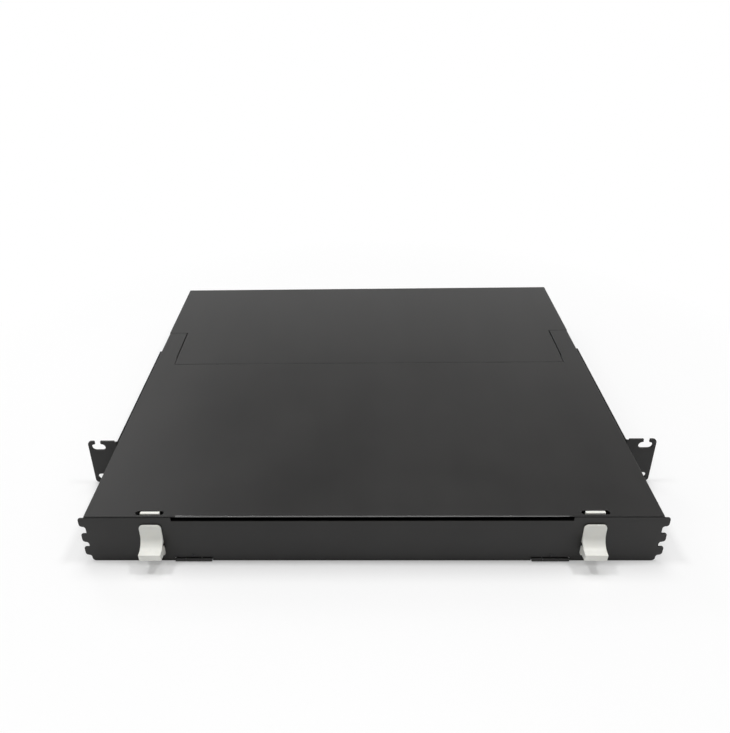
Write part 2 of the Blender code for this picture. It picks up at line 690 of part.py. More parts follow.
def ear_half():
    """The lower half of an ear's outline, from its root to its outer edge, with the open slot."""
    slot_x = EAR_SPAN / 2 - SLOT_INSET
    slot_z = EAR_MIDDLE - SLOT_SPACING_UP / 2
    mouth_x = slot_x + SLOT_MOUTH_SHIFT
    reach = (SLOT_LENGTH - SLOT_WIDTH) / 2
    edge = EAR_SPAN / 2
    points = [(BRACKET_OUTER + BEND_RADIUS, EAR_BOTTOM), (mouth_x - SLOT_MOUTH / 2, EAR_BOTTOM)]
    points.append((mouth_x - SLOT_MOUTH / 2, slot_z - SLOT_WIDTH / 2))
    points += arc((slot_x - reach, slot_z), SLOT_WIDTH / 2, 270, 90, SLOT_STEPS)
    points += arc((slot_x + reach, slot_z), SLOT_WIDTH / 2, 90, -90, SLOT_STEPS)
    points += [(mouth_x + SLOT_MOUTH / 2, slot_z - SLOT_WIDTH / 2), (mouth_x + SLOT_MOUTH / 2, EAR_BOTTOM)]
    points += arc((edge - EAR_CORNER, EAR_BOTTOM + EAR_CORNER), EAR_CORNER, -90, 0, ROUND_STEPS)
    return points


def build_bracket(name, side):
    """A mounting ear folded from one strip with its long side leg."""
    lower = ear_half()
    upper = [(x, 2 * EAR_MIDDLE - z) for x, z in reversed(lower)]
    ear = [(side * x, z) for x, z in lower + upper]
    bracket = plate(name, [ear], "XZ", EAR_SETBACK, EAR_SETBACK + BRACKET_SHEET, BLACK_COAT)
    root = BRACKET_OUTER + 2 * BEND_RADIUS
    inner_bend = BEND_RADIUS - BRACKET_SHEET / 2
    outer_bend = inner_bend + BRACKET_SHEET
    bend = (BRACKET_INNER + outer_bend, EAR_SETBACK + outer_bend)
    strip = [(root, EAR_SETBACK), (root, EAR_SETBACK + BRACKET_SHEET)]
    strip += arc(bend, inner_bend, 270, 180, BEND_STEPS)
    strip += [(BRACKET_OUTER, EAR_SETBACK + BRACKET_LENGTH), (BRACKET_INNER, EAR_SETBACK + BRACKET_LENGTH)]
    strip += arc(bend, outer_bend, 180, 270, ROUND_STEPS)
    leg = plate("leg", [[(side * x, y) for x, y in strip]], "XY", LEG_MARGIN, WALL_TOP)
    join(bracket, leg)
    sink = sink_mesh()
    for y, z in LEG_SCREW_PLACES:
        cut(bracket, turned("sink", sink, placed((side * BRACKET_OUTER, y, z), (side, 0, 0))))
    return bracket


def tray_level(tier):
    """The underside of a tray, counted from the lowest."""
    return TRAY_BOTTOM + tier * TIER_PITCH


def build_rail(name, side):
    """A side rail whose ledges carry the trays' edges."""
    top = LID_BOTTOM - GAP - SHEET
    shoulder = LID_BOTTOM - LID_FLANGE - GAP
    tip = RAIL_INNER - RAIL_LEDGE
    points = [(FLANGE_OUTER, SHEET + GAP), (FLANGE_OUTER, shoulder), (FLANGE_INNER - GAP, shoulder)]
    points += [(FLANGE_INNER - GAP, top), (RAIL_INNER, top)]
    for tier in reversed(range(1, TRAY_COUNT)):
        ledge = tray_level(tier) - GAP
        points += [(RAIL_INNER, ledge), (tip, ledge)]
        points += [(tip, ledge - RAIL_LEDGE_THICKNESS), (RAIL_INNER, ledge - RAIL_LEDGE_THICKNESS)]
    points.append((RAIL_INNER, SHEET + GAP))
    section = [(side * x, z) for x, z in points]
    rail = plate(name, [section], "XZ", RAIL_FRONT_Y, RAIL_END_Y, BLACK_PLASTIC)
    ends = sorted((side * (FLANGE_OUTER - SCREW_BITE), side * (FLANGE_OUTER + CUT_MARGIN)))
    cut(rail, side_holes("rail_holes", LEG_SCREW_PLACES, ends[0], ends[1]))
    screw = screw_mesh("rail_screw", SHEET + 2 * GAP + SCREW_BITE)
    for z in RAIL_SCREW_ZS:
        point = (side * (HALF_BODY + GAP), RAIL_SCREW_Y, z)
        join(rail, turned("rail_screw", screw, placed(point, (side, 0, 0))))
    return rail


def build_screws():
    """The screws that hold the ears to the walls, and those through the lid's rear skirt."""
    through_bracket = flush_screw_mesh("bracket_screw", BRACKET_SHEET + SHEET + SCREW_BITE)
    for word, side in (("left", -1), ("right", 1)):
        face = side * BRACKET_OUTER
        for number, (y, z) in enumerate(LEG_SCREW_PLACES):
            place = placed((face, y, z), (side, 0, 0))
            copy_at(f"bracket_screw_{word}_{number + 1}", through_bracket, place, BLACK_SCREW)
    skirt = screw_mesh("skirt_screw", 2 * SHEET + GAP + SCREW_BITE)
    for number, x in enumerate(REAR_SCREW_XS):
        place = placed((x, BODY_DEPTH + GAP, REAR_SCREW_Z), (0, 1, 0))
        copy_at(f"rear_cover_screw_{number + 1}", skirt, place, BLACK_SCREW)


def build_tie_bar():
    """A folded bar across the rear space, with slots for cable ties."""
    foot = SHEET + GAP
    low_y = TIE_BAR_Y
    high_y = TIE_BAR_Y + TIE_BAR_WIDTH
    section = [
        (low_y, foot),
        (low_y + TIE_BAR_WIDTH / 2, foot),
        (low_y + TIE_BAR_WIDTH / 2, TIE_BAR_HEIGHT - SHEET),
        (high_y + TIE_BAR_WIDTH / 4, TIE_BAR_HEIGHT - SHEET),
        (high_y + TIE_BAR_WIDTH / 4, TIE_BAR_HEIGHT),
        (low_y + TIE_BAR_WIDTH / 2 - SHEET, TIE_BAR_HEIGHT),
        (low_y + TIE_BAR_WIDTH / 2 - SHEET, foot + SHEET),
        (low_y, foot + SHEET),
    ]
    bar = plate("cable_tie_bar", [section], "YZ", -TIE_BAR_END, TIE_BAR_END, BLACK_COAT)
    slots = []
    for number in range(TIE_SLOTS):
        x = (number - (TIE_SLOTS - 1) / 2) * TIE_SLOT_PITCH
        y = (low_y + TIE_BAR_WIDTH / 2 + high_y + TIE_BAR_WIDTH / 4) / 2
        reach = (TIE_SLOT_LENGTH / 2, TIE_SLOT_WIDTH / 2)
        slots.append(rectangle((x - reach[0], y - reach[1]), (x + reach[0], y + reach[1])))
    cut(bar, plate("tie_slots", slots, "XY", TIE_BAR_HEIGHT - 2 * SHEET, TIE_BAR_HEIGHT + SHEET))
    screw = screw_mesh("tie_screw", 2 * SHEET)
    for x in TIE_SCREW_XS:
        join(bar, turned("tie_screw", screw, placed((x, TIE_SCREW_Y, foot + SHEET), (0, 0, 1))))
    return bar


def build_grommets():
    """Rubber rings that line the cable entries and grip the rear wall in a groove."""
    seat = ENTRY_RADIUS - GAP
    rim = ENTRY_RADIUS + GROMMET_LIP
    wall = SHEET / 2 + GAP
    face = wall + GROMMET_LIP_THICKNESS
    profile = [(GROMMET_BORE, face), (rim, face), (rim, wall), (seat, wall)]
    profile += [(seat, -wall), (rim, -wall), (rim, -face), (GROMMET_BORE, -face)]
    ring = turned_mesh("grommet", profile, RING_STEPS)
    for number, x in enumerate(ENTRY_XS):
        place = placed((x, REAR_PANEL_Y - SHEET / 2, ENTRY_RISE), (0, 1, 0))
        copy_at(f"rear_grommet_{number + 1}", ring, place, RUBBER)


def build_earth_stud():
    """The earthing stud in the rear wall, with its nut."""
    collar = REAR_PANEL_Y - SHEET - GAP
    stud = turned_mesh("stud", [
        (0.0, SHEET + GAP + STUD_REACH),
        (STUD_RADIUS - SCREW_CHAMFER, SHEET + GAP + STUD_REACH),
        (STUD_RADIUS, SHEET + GAP + STUD_REACH - SCREW_CHAMFER),
        (STUD_RADIUS, 0.0),
        (NUT_RADIUS, 0.0),
        (NUT_RADIUS, -2 * SHEET),
        (0.0, -2 * SHEET),
    ], SMALL_ROUND_STEPS)
    copy_at("earth_stud", stud, placed((STUD_X, collar, STUD_RISE), (0, 1, 0)), ZINC)
    nut_low = REAR_PANEL_Y + GAP
    hexagon = circle((STUD_X, STUD_RISE), NUT_RADIUS, 6)
    hole = circle((STUD_X, STUD_RISE), STUD_RADIUS + GAP, SMALL_ROUND_STEPS)
    return plate("earth_nut", [hexagon, hole], "XZ", nut_low, nut_low + NUT_HEIGHT, ZINC)


def tooth_points():
    """The door's right edge from the bottom corner to the top, with its cable teeth."""
    points = arc((DOOR_BASE_X - DOOR_CORNER, DOOR_BOTTOM + DOOR_CORNER), DOOR_CORNER, -90, 0, ROUND_STEPS)
    tip = DOOR_BASE_X + TOOTH_REACH
    for drop in TOOTH_DROPS:
        top = DOOR_TOP - drop
        bottom = top - TOOTH_HEIGHT
        root = (DOOR_BASE_X + TOOTH_FILLET, bottom - TOOTH_FILLET)
        lower = (tip - TOOTH_BOTTOM_ROUND, bottom + TOOTH_BOTTOM_ROUND)
        upper = (tip - TOOTH_TOP_ROUND, top - TOOTH_TOP_ROUND)
        points += arc(root, TOOTH_FILLET, 180, 90, BEND_STEPS)
        points += arc(lower, TOOTH_BOTTOM_ROUND, -90, 0, ROUND_STEPS)
        points += arc(upper, TOOTH_TOP_ROUND, 0, 90, BEND_STEPS)
        points.append((DOOR_BASE_X, top))
    points.append((DOOR_BASE_X, DOOR_TOP))
    return points


def build_door():
    """The flat door with toothed ends, hinge reliefs and latch windows."""
    relief = HINGE_AXIS_Z + KNUCKLE_RADIUS + 2 * GAP
    relief_low = HINGE_X - KNUCKLE_OUTER - 2 * GAP
    relief_high = HINGE_X + KNUCKLE_OUTER + 2 * GAP
    half = [(relief_low, DOOR_BOTTOM), (relief_low, relief)]
    half += [(relief_high, relief), (relief_high, DOOR_BOTTOM)]
    half += tooth_points()
    step = DOOR_TOP - DOOR_RECESS
    half += [(DOOR_RECESS_X, DOOR_TOP), (DOOR_RECESS_X, step)]
    holes = []
    for side in (-1, 1):
        reach = NECK_WIDTH / 2 + GAP
        low = (side * LATCH_X - reach, NECK_BOTTOM - LATCH_TRAVEL - GAP)
        high = (side * LATCH_X + reach, NECK_BOTTOM + NECK_HEIGHT + GAP)
        holes.append(rectangle(low, high))
        holes.append(circle((side * HINGE_X, RIVET_RISE), RIVET_RADIUS + GAP, SMALL_ROUND_STEPS))
    return plate("front_door", [half + mirrored(half)] + holes, "XZ", 0.0, DOOR_SHEET, BLACK_COAT)


def build_leaf(name, side):
    """A hinge leaf riveted behind the door, curled round its pin."""
    axis = (HINGE_AXIS_Y, HINGE_AXIS_Z)
    front = DOOR_INSIDE
    rear = DOOR_INSIDE + LEAF_SHEET
    outline = [(front, LEAF_TOP), (rear, LEAF_TOP), (rear, HINGE_AXIS_Z - LEAF_SHEET / 2)]
    outline += arc(axis, KNUCKLE_RADIUS, LEAF_CURL_START, LEAF_CURL_END, HINGE_STEPS)
    outline.append((front, HINGE_AXIS_Z + KNUCKLE_RADIUS + GAP))
    ends = (side * HINGE_X - KNUCKLE_MIDDLE, side * HINGE_X + KNUCKLE_MIDDLE)
    leaf = plate(name, [outline, circle(axis, PIN_HOLE, HINGE_STEPS)], "YZ", ends[0], ends[1], BLACK_COAT)
    hole = circle((side * HINGE_X, RIVET_RISE), RIVET_RADIUS + GAP, SMALL_ROUND_STEPS)
    cut(leaf, plate("rivet_hole", [hole], "XZ", 0.0, 2 * DOOR_INSIDE))
    return leaf


def build_hinge_pins():
    """The two steel hinge pins."""
    end = KNUCKLE_OUTER
    profile = [(0.0, end), (PIN_RADIUS, end), (PIN_RADIUS, -end), (0.0, -end)]
    pin = turned_mesh("pin", profile, SMALL_ROUND_STEPS)
    for word, side in (("left", -1), ("right", 1)):
        place = placed((side * HINGE_X, HINGE_AXIS_Y, HINGE_AXIS_Z), (1, 0, 0))
        copy_at(f"hinge_pin_{word}", pin, place, STEEL)


def build_rivet(name, side):
    """The rivet that holds a leaf, with a low head in front of the door."""
    back = DOOR_INSIDE + LEAF_SHEET + 2 * GAP
    rivet = turned_mesh("rivet", [
        (0.0, RIVET_HEAD_HEIGHT),
        (RIVET_HEAD / 2, RIVET_HEAD_HEIGHT),
        (RIVET_HEAD, 0.0),
        (RIVET_RADIUS, 0.0),
        (RIVET_RADIUS, -back),
        (RIVET_HEAD, -back),
        (RIVET_HEAD, -back - RIVET_HEAD_HEIGHT),
        (0.0, -back - RIVET_HEAD_HEIGHT),
    ], SMALL_ROUND_STEPS)
    return copy_at(name, rivet, placed((side * HINGE_X, -GAP, RIVET_RISE), (0, -1, 0)), BLACK_SCREW)


def latch_face():
    """The thumb piece from the side: flat at the top, swept out to a lip below."""
    back = -GAP
    face = -LATCH_FACE
    sweep = (face - LATCH_SWEEP, LATCH_LIP_TOP + LATCH_SWEEP)
    crown = LATCH_CROWN_ROUND
    lip = LATCH_LIP_ROUND
    points = [(back, LATCH_TOP)]
    points += arc((face + crown, LATCH_TOP - crown), crown, 90, 180, BEND_STEPS)
    points += arc(sweep, LATCH_SWEEP, 0, -90, LATCH_SWEEP_STEPS)
    points += arc((-LATCH_REACH + lip, LATCH_LIP_TOP - lip), lip, 90, 180, BEND_STEPS)
    points += arc((-LATCH_REACH + 2 * lip, LATCH_LIP_BOTTOM + lip), lip, 180, LATCH_LIP_END, BEND_STEPS)
    points += [(-LATCH_FOOT_REACH, LATCH_FOOT + lip), (-LATCH_FOOT_REACH, LATCH_FOOT), (back, LATCH_FOOT)]
    points += [(back, LATCH_HOLLOW_BOTTOM - LATCH_HOLLOW_SLOPE), (-LATCH_HOLLOW, LATCH_HOLLOW_BOTTOM)]
    points += [(-LATCH_HOLLOW, LATCH_HOLLOW_TOP), (back, LATCH_HOLLOW_TOP + LATCH_HOLLOW_SLOPE)]
    return points


def front_shape(centre, width, bottom, top, corner):
    """A tall front-view outline with round top corners."""
    half = width / 2
    points = [(centre - half, bottom), (centre + half, bottom)]
    points += arc((centre + half - corner, top - corner), corner, 0, 90, ROUND_STEPS)
    points += arc((centre - half + corner, top - corner), corner, 90, 180, ROUND_STEPS)
    return points


def build_latch(name, side):
    """A moulded latch: thumb piece in front, neck through the door, tongue behind it."""
    centre = side * LATCH_X
    reach = LATCH_REACH + CUT_MARGIN
    thumb_front = front_shape(centre, LATCH_WIDTH, 0.0, LATCH_TOP, LATCH_CORNER)
    latch = plate(name, [thumb_front], "XZ", -reach, reach, WHITE_PLASTIC)
    wide = LATCH_WIDTH
    boolean(latch, plate("thumb", [latch_face()], "YZ", centre - wide, centre + wide), "INTERSECT")
    half = NECK_WIDTH / 2
    low = (centre - half, -LATCH_FACE / 2, NECK_BOTTOM)
    high = (centre + half, DOOR_INSIDE + CARRIAGE_THICKNESS / 2, NECK_BOTTOM + NECK_HEIGHT)
    join(latch, block("neck", low, high))
    tongue_front = front_shape(centre, TONGUE_WIDTH, 0.0, TONGUE_TOP, TONGUE_CORNER)
    carriage = plate("carriage", [tongue_front], "XZ", 0.0, reach)
    step = DOOR_INSIDE + CARRIAGE_THICKNESS
    neck_top = NECK_BOTTOM + NECK_HEIGHT
    profile = [
        (DOOR_INSIDE, CARRIAGE_BOTTOM),
        (step, CARRIAGE_BOTTOM),
        (step, neck_top + LATCH_TRAVEL),
        (TONGUE_REAR, neck_top + 2 * LATCH_TRAVEL),
        (TONGUE_REAR, TONGUE_TOP - TONGUE_CORNER),
        (TONGUE_REAR - TONGUE_CORNER / 2, TONGUE_TOP),
        (TONGUE_FRONT, TONGUE_TOP),
        (TONGUE_FRONT, neck_top + 2 * LATCH_TRAVEL + TONGUE_CORNER),
        (DOOR_INSIDE, neck_top + LATCH_TRAVEL + TONGUE_CORNER),
    ]
    boolean(carriage, plate("side_shape", [profile], "YZ", centre - wide, centre + wide), "INTERSECT")
    settle(carriage)
    join(latch, carriage)
    return latch


def build_keeper(name, side):
    """The channel behind the door in which a latch's carriage slides, with the spring's shelf."""
    centre = side * LATCH_X
    inner = TONGUE_WIDTH / 2 + GAP
    outer = inner + KEEPER_SHEET
    lip_front = DOOR_INSIDE + CARRIAGE_THICKNESS + 2 * GAP
    lip_rear = lip_front + KEEPER_SHEET
    half = [
        (inner, DOOR_INSIDE),
        (outer + KEEPER_FLANGE, DOOR_INSIDE),
        (outer + KEEPER_FLANGE, DOOR_INSIDE + KEEPER_SHEET),
        (outer, DOOR_INSIDE + KEEPER_SHEET),
        (outer, lip_rear),
        (outer - KEEPER_LIP, lip_rear),
        (outer - KEEPER_LIP, lip_front),
        (inner, lip_front),
    ]
    shelf = rectangle((centre - outer, DOOR_INSIDE), (centre + outer, lip_rear))
    keeper = plate(name, [shelf], "XY", KEEPER_BOTTOM, KEEPER_BOTTOM + KEEPER_SHEET, ZINC)
    for cheek in (half, mirrored(half)):
        shifted = [(centre + x, y) for x, y in cheek]
        join(keeper, plate("cheek", [shifted], "XY", KEEPER_BOTTOM + KEEPER_SHEET / 2, KEEPER_TOP))
    return keeper


def build_spring(name, side):
    """The small coil that pushes a latch up."""
    foot = KEEPER_BOTTOM + KEEPER_SHEET + GAP + SPRING_WIRE
    head = CARRIAGE_BOTTOM - GAP - SPRING_WIRE
    count = SPRING_TURNS * SPRING_STEPS
    curve = bpy.data.curves.new(name, "CURVE")
    curve.dimensions = "3D"
    curve.bevel_depth = SPRING_WIRE
    curve.bevel_resolution = 1
    curve.use_fill_caps = True
    spline = curve.splines.new("POLY")
    spline.points.add(count)
    for number, point in enumerate(spline.points):
        angle = math.tau * number / SPRING_STEPS
        x = side * LATCH_X + SPRING_RADIUS * math.cos(angle)
        y = DOOR_INSIDE + CARRIAGE_THICKNESS / 2 + SPRING_RADIUS * math.sin(angle)
        point.co = (x, y, foot + (head - foot) * number / count, 1.0)
    drawn = bpy.data.objects.new(name, curve)
    bpy.context.scene.collection.objects.link(drawn)
    mesh = evaluated_mesh(drawn)
    bpy.data.objects.remove(drawn)
    shell = bmesh.new()
    shell.from_mesh(mesh)
    bmesh.ops.remove_doubles(shell, verts=shell.verts, dist=WELD_DISTANCE)
    bmesh.ops.recalc_face_normals(shell, faces=shell.faces)
    shell.to_mesh(mesh)
    shell.free()
    return mesh_object(name, mesh, STEEL)


def build_tray(tier):
    """A flat tray with tie slots along its rear edge and strips that hold the cassettes down."""
    level = tray_level(tier)
    rear = TRAY_FRONT_Y + TRAY_DEPTH
    outer = TRAY_EDGE_X - PULL_INSET
    inner = outer - PULL_WIDTH
    tab_front = TRAY_FRONT_Y - TRAY_TAB
    half = [(inner, TRAY_FRONT_Y), (inner, tab_front), (outer, tab_front), (outer, TRAY_FRONT_Y)]
    half += [(TRAY_EDGE_X, TRAY_FRONT_Y), (TRAY_EDGE_X, rear)]
    outline = half + mirrored(half)
    slots = []
    for number in range(TRAY_SLOTS):
        x = (number - (TRAY_SLOTS - 1) / 2) * CASSETTE_PITCH / 2
        slots.append(rounded_slot((x, rear - 2 * TRAY_SLOT_WIDTH), TRAY_SLOT_LENGTH, TRAY_SLOT_WIDTH))
    tray = plate(f"tray_{tier + 1}", [outline] + slots, "XY", level, level + TRAY_SHEET, BLACK_COAT)
    strip_rear = CASSETTE_FRONT_Y + CASSETTE_DEPTH - CASSETTE_REAR_CHAMFER
    foot = level + TRAY_SHEET / 2
    shoulder = cassette_floor(tier) + CASSETTE_WALL + GAP
    top = shoulder + GUIDE_HEAD_THICKNESS
    strips = []
    for edge in range(CASSETTES + 1):
        x = (edge - CASSETTES / 2) * CASSETTE_PITCH
        stem = (x - GUIDE_STEM / 2, x + GUIDE_STEM / 2)
        head = (x - GUIDE_HEAD / 2, x + GUIDE_HEAD / 2)
        strip = [(stem[0], foot), (stem[1], foot), (stem[1], shoulder), (head[1], shoulder)]
        strips.append(strip + [(head[1], top), (head[0], top), (head[0], shoulder), (stem[0], shoulder)])
    join(tray, plate("strips", strips, "XZ", CASSETTE_FRONT_Y, strip_rear))
    return tray


def build_pull(name, tier, side):
    """A pull tab at one end of a tray's front edge."""
    level = tray_level(tier) + TRAY_SHEET + GAP
    inner = TRAY_EDGE_X - PULL_INSET - PULL_WIDTH
    outer = TRAY_EDGE_X - PULL_INSET
    front = TRAY_FRONT_Y - PULL_REACH
    root = CASSETTE_FRONT_Y - ADAPTER_PROUD - GAP
    tab = [(inner, root), (inner, front + PULL_WIDTH / 2)]
    tab += arc(((inner + outer) / 2, front + PULL_WIDTH / 2), PULL_WIDTH / 2, 180, 360, SLOT_STEPS)[1:-1]
    tab += [(outer, front + PULL_WIDTH / 2), (outer, root)]
    outline = [(side * x, y) for x, y in tab]
    return plate(name, [outline], "XY", level, level + PULL_THICKNESS, GREY_PLASTIC)


def cassette_centre(bay):
    """The middle of a cassette, counted from the left."""
    return (bay - (CASSETTES - 1) / 2) * CASSETTE_PITCH


def cassette_floor(tier):
    """The underside of the cassettes on a tray."""
    return tray_level(tier) + TRAY_SHEET + GAP


def build_cassette_mesh():
    """A closed cassette: base flange, body, six duplex front ports, one capped trunk port."""
    body_half = CASSETTE_PITCH / 2 - GUIDE_HEAD / 2 - GAP
    flange_half = CASSETTE_PITCH / 2 - GUIDE_STEM / 2 - GAP
    front = CASSETTE_FRONT_Y
    rear = CASSETTE_FRONT_Y + CASSETTE_DEPTH
    shoulder = rear - CASSETTE_REAR_CHAMFER
    outline = [(-body_half, front), (body_half, front), (body_half, shoulder)]
    outline += [(body_half - CASSETTE_REAR_CHAMFER, rear), (-body_half + CASSETTE_REAR_CHAMFER, rear)]
    outline.append((-body_half, shoulder))
    body = plate("cassette", [outline], "XY", CASSETTE_WALL / 2, CASSETTE_HEIGHT)
    base = rectangle((-flange_half, front), (flange_half, shoulder))
    join(body, plate("base_flange", [base], "XY", 0.0, CASSETTE_WALL))
    low = 2 * CASSETTE_WALL
    high = CASSETTE_HEIGHT - 2 * CASSETTE_WALL
    middle = (low + high) / 2
    adapters = []
    ports = []
    for number in range(PORTS):
        x = (number - (PORTS - 1) / 2) * PORT_PITCH
        adapters.append(rectangle((x - ADAPTER_WIDTH / 2, low), (x + ADAPTER_WIDTH / 2, high)))
        for side in (-1, 1):
            port = x + side * PORT_SPACING / 2
            reach = PORT_SIZE / 2
            ports.append(rectangle((port - reach, middle - reach), (port + reach, middle + reach)))
    face = front - ADAPTER_PROUD
    join(body, plate("adapters", adapters, "XZ", face, front + ADAPTER_PROUD))
    cut(body, plate("ports", ports, "XZ", face - SHUTTER_DEPTH, face + SHUTTER_DEPTH))
    trunk_low = (-TRUNK_WIDTH / 2, rear - ADAPTER_PROUD, low)
    join(body, block("trunk", trunk_low, (TRUNK_WIDTH / 2, rear + TRUNK_PROUD, high)))
    cap_rear = rear + TRUNK_PROUD + CAP_LENGTH
    cap_low = (-CAP_WIDTH / 2, rear, middle - CAP_HEIGHT / 2)
    join(body, block("cap", cap_low, (CAP_WIDTH / 2, cap_rear, middle + CAP_HEIGHT / 2)))
    mesh = settle(body)
    bpy.data.objects.remove(body)
    return mesh


def build_tier(tier, cassette):
    """A tray with its pull tabs and its four cassettes."""
    number = tier + 1
    level = cassette_floor(tier)
    pieces = [build_tray(tier)]
    for word, side in (("left", -1), ("right", 1)):
        pieces.append(build_pull(f"tray_pull_{number}_{word}", tier, side))
    for bay in range(CASSETTES):
        place = Matrix.Translation((cassette_centre(bay), 0.0, level))
        pieces.append(copy_at(f"cassette_{number}_{bay + 1}", cassette, place, BLACK_PLASTIC))
    carrier = joint_empty(f"tray_{number}_axis", (0.0, TRAY_FRONT_Y, level))
    for piece in pieces:
        carry(piece, carrier)


def build_door_group():
    """The door, with what is fixed to it and what slides on it."""
    door_axis = joint_empty("door_axis", (0.0, HINGE_AXIS_Y, HINGE_AXIS_Z))
    pieces = [build_door()]
    for word, side in (("left", -1), ("right", 1)):
        latch_axis = joint_empty(f"latch_{word}_axis", (side * LATCH_X, DOOR_INSIDE, CARRIAGE_BOTTOM))
        carry(latch_axis, door_axis)
        latch = build_latch(f"latch_{word}", side)
        latch.parent = latch_axis
        latch.matrix_parent_inverse = Matrix.Translation((-side * LATCH_X, -DOOR_INSIDE, -CARRIAGE_BOTTOM))
        pieces.append(build_rivet(f"hinge_rivet_{word}", side))
        pieces.append(build_leaf(f"hinge_leaf_{word}", side))
        pieces.append(build_keeper(f"latch_keeper_{word}", side))
        pieces.append(build_spring(f"latch_spring_{word}", side))
    for piece in pieces:
        carry(piece, door_axis)


def build_panel():
    """The whole panel."""
    build_chassis()
    build_rear_panel()
    build_front_cover()
    build_rear_cover()
    for word, side in (("left", -1), ("right", 1)):
        build_bracket(f"bracket_{word}", side)
        build_rail(f"guide_rail_{word}", side)
    build_screws()
    build_tie_bar()
    build_grommets()
    build_earth_stud()
    build_hinge_pins()
    build_door_group()
    cassette = build_cassette_mesh()
    for tier in range(TRAY_COUNT):
        build_tier(tier, cassette)


build_panel()
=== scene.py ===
"""The looks of the rack patch panel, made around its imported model.

Each operator makes one piece, or one group of like pieces, over the nodes that it
stands for. Positions are in metres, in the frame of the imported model.

Among the values of the finishes, a noise is its scale, its detail and, where it is drawn
out, its stretch. Shades are shares of the colour, a range is the part of a noise that is
spread out, and a grain is the depth and the strength of the bumps.
"""

import json
import math

import bmesh
import bpy
from bpy.props import FloatProperty, FloatVectorProperty, IntProperty, PointerProperty
from mathutils import Matrix, Vector


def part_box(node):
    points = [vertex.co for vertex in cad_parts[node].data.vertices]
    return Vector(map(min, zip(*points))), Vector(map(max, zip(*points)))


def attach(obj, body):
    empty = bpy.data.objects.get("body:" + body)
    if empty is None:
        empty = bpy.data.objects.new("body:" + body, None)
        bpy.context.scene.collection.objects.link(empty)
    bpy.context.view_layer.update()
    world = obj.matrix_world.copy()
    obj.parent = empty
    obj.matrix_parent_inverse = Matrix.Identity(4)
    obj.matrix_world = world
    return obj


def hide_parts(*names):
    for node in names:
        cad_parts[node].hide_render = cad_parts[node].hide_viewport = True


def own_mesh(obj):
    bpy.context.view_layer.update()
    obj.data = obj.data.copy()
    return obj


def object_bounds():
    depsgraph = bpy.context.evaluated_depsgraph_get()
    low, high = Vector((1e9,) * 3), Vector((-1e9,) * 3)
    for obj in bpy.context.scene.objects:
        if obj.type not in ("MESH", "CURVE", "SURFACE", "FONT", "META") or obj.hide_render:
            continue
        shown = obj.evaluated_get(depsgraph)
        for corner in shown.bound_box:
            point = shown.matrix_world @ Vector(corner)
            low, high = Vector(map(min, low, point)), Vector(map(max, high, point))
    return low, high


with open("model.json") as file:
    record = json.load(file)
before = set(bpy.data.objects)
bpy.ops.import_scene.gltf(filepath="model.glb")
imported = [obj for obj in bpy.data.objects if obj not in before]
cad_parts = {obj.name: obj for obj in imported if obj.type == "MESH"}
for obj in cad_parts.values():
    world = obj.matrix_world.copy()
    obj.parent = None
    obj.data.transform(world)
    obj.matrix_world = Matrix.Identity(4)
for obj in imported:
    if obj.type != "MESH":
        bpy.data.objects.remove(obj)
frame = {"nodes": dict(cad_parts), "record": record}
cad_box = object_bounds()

bl_info = {
    "name": "Rack patch panel looks",
    "version": (1, 0, 0),
    "blender": (4, 5, 0),
    "location": "View3D > Sidebar > Patch panel",
    "description": "Makes the pieces, finishes and stage of a rack patch panel",
    "category": "Object",
}

MM = 0.001
BODY_OF = {node: body for body, nodes in frame["record"]["behaviour"]["bodies"].items() for node in nodes}
SIDES = {"left": -1, "right": 1}
TIERS = range(1, 4)
BAYS = range(1, 5)
EAR_SCREWS = range(1, 5)
SKIRT_SCREWS = range(1, 4)
GROMMETS = range(1, 5)

# Making of shapes
WELD = 0.005 * MM
CUT_SNAP = WELD / 10
FLAT = math.radians(0.5)
SHARP = math.radians(34)
FACING = 0.9
TURN_STEPS = 32
SMALL_TURN_STEPS = 20
WIDE_TURN_STEPS = 48
CORNER_STEPS = 4
EDGE_STEPS = 3
SMALL_EDGE_STEPS = 2
NO_GAP = 0.02 * MM

# Rounding of edges
CURL_EDGE = 0.06 * MM
KEEPER_EDGE = 0.15 * MM
RIVET_EDGE = 0.08 * MM
THREAD_EDGE = 0.06 * MM
GROMMET_EDGE = 0.15 * MM
TRAY_EDGE = 0.15 * MM
PULL_EDGE = 0.35 * MM
RAIL_EDGE = 0.2 * MM
CASSETTE_EDGE = 0.18 * MM

# Front edge of the lid, where hands rub it
RUBBED_EDGE = 1.1 * MM
RUBBED_HALF = 145.0 * MM
RUBBED_ROUGHNESS = 0.15
RUBBED_IOR = 2.1

# Upper edges of the ears' legs, rougher and darkened with painted shade: distances from the middle, and
# height
SHADED_ROUGH_LEGS = (214.2 * MM, 216.6 * MM)
SHADED_ROUGH_FROM = 42.5 * MM
# Share of painted shade that darkens the legs' upper edges towards black
LEG_PAINTED_SHADE = 0.6
MATT_ROUGHNESS = 0.5

# Latches, from the door's front face and the panel's underside
LATCH_WIDTH = 16.8 * MM
LATCH_TOP = 36.7 * MM
LATCH_BACK = -0.3 * MM
LATCH_FACE = -1.8 * MM
LATCH_SWEEP = 9.2 * MM
LATCH_SWEEP_STEPS = 12
LIP_FRONT = -13.6 * MM
LIP_TOP = 18.2 * MM
LIP_UNDER = (-12.9 * MM, 12.2 * MM)
LIP_ROUND = 0.5 * MM
LATCH_BELLY = (-4.6 * MM, 10.9 * MM)
LATCH_FOOT = (-3.0 * MM, 8.4 * MM)
LATCH_CORNER = 3.4 * MM
LATCH_CORNER_STEPS = 8
LATCH_NOTCH = (
    (LATCH_BACK, 16.0 * MM),
    (-4.4 * MM, 16.6 * MM),
    (-4.4 * MM, 19.0 * MM),
    (LATCH_BACK, 19.6 * MM),
)
NECK_WIDTH = 9.4 * MM
NECK_BOTTOM = 24.2 * MM
NECK_TOP = 29.0 * MM
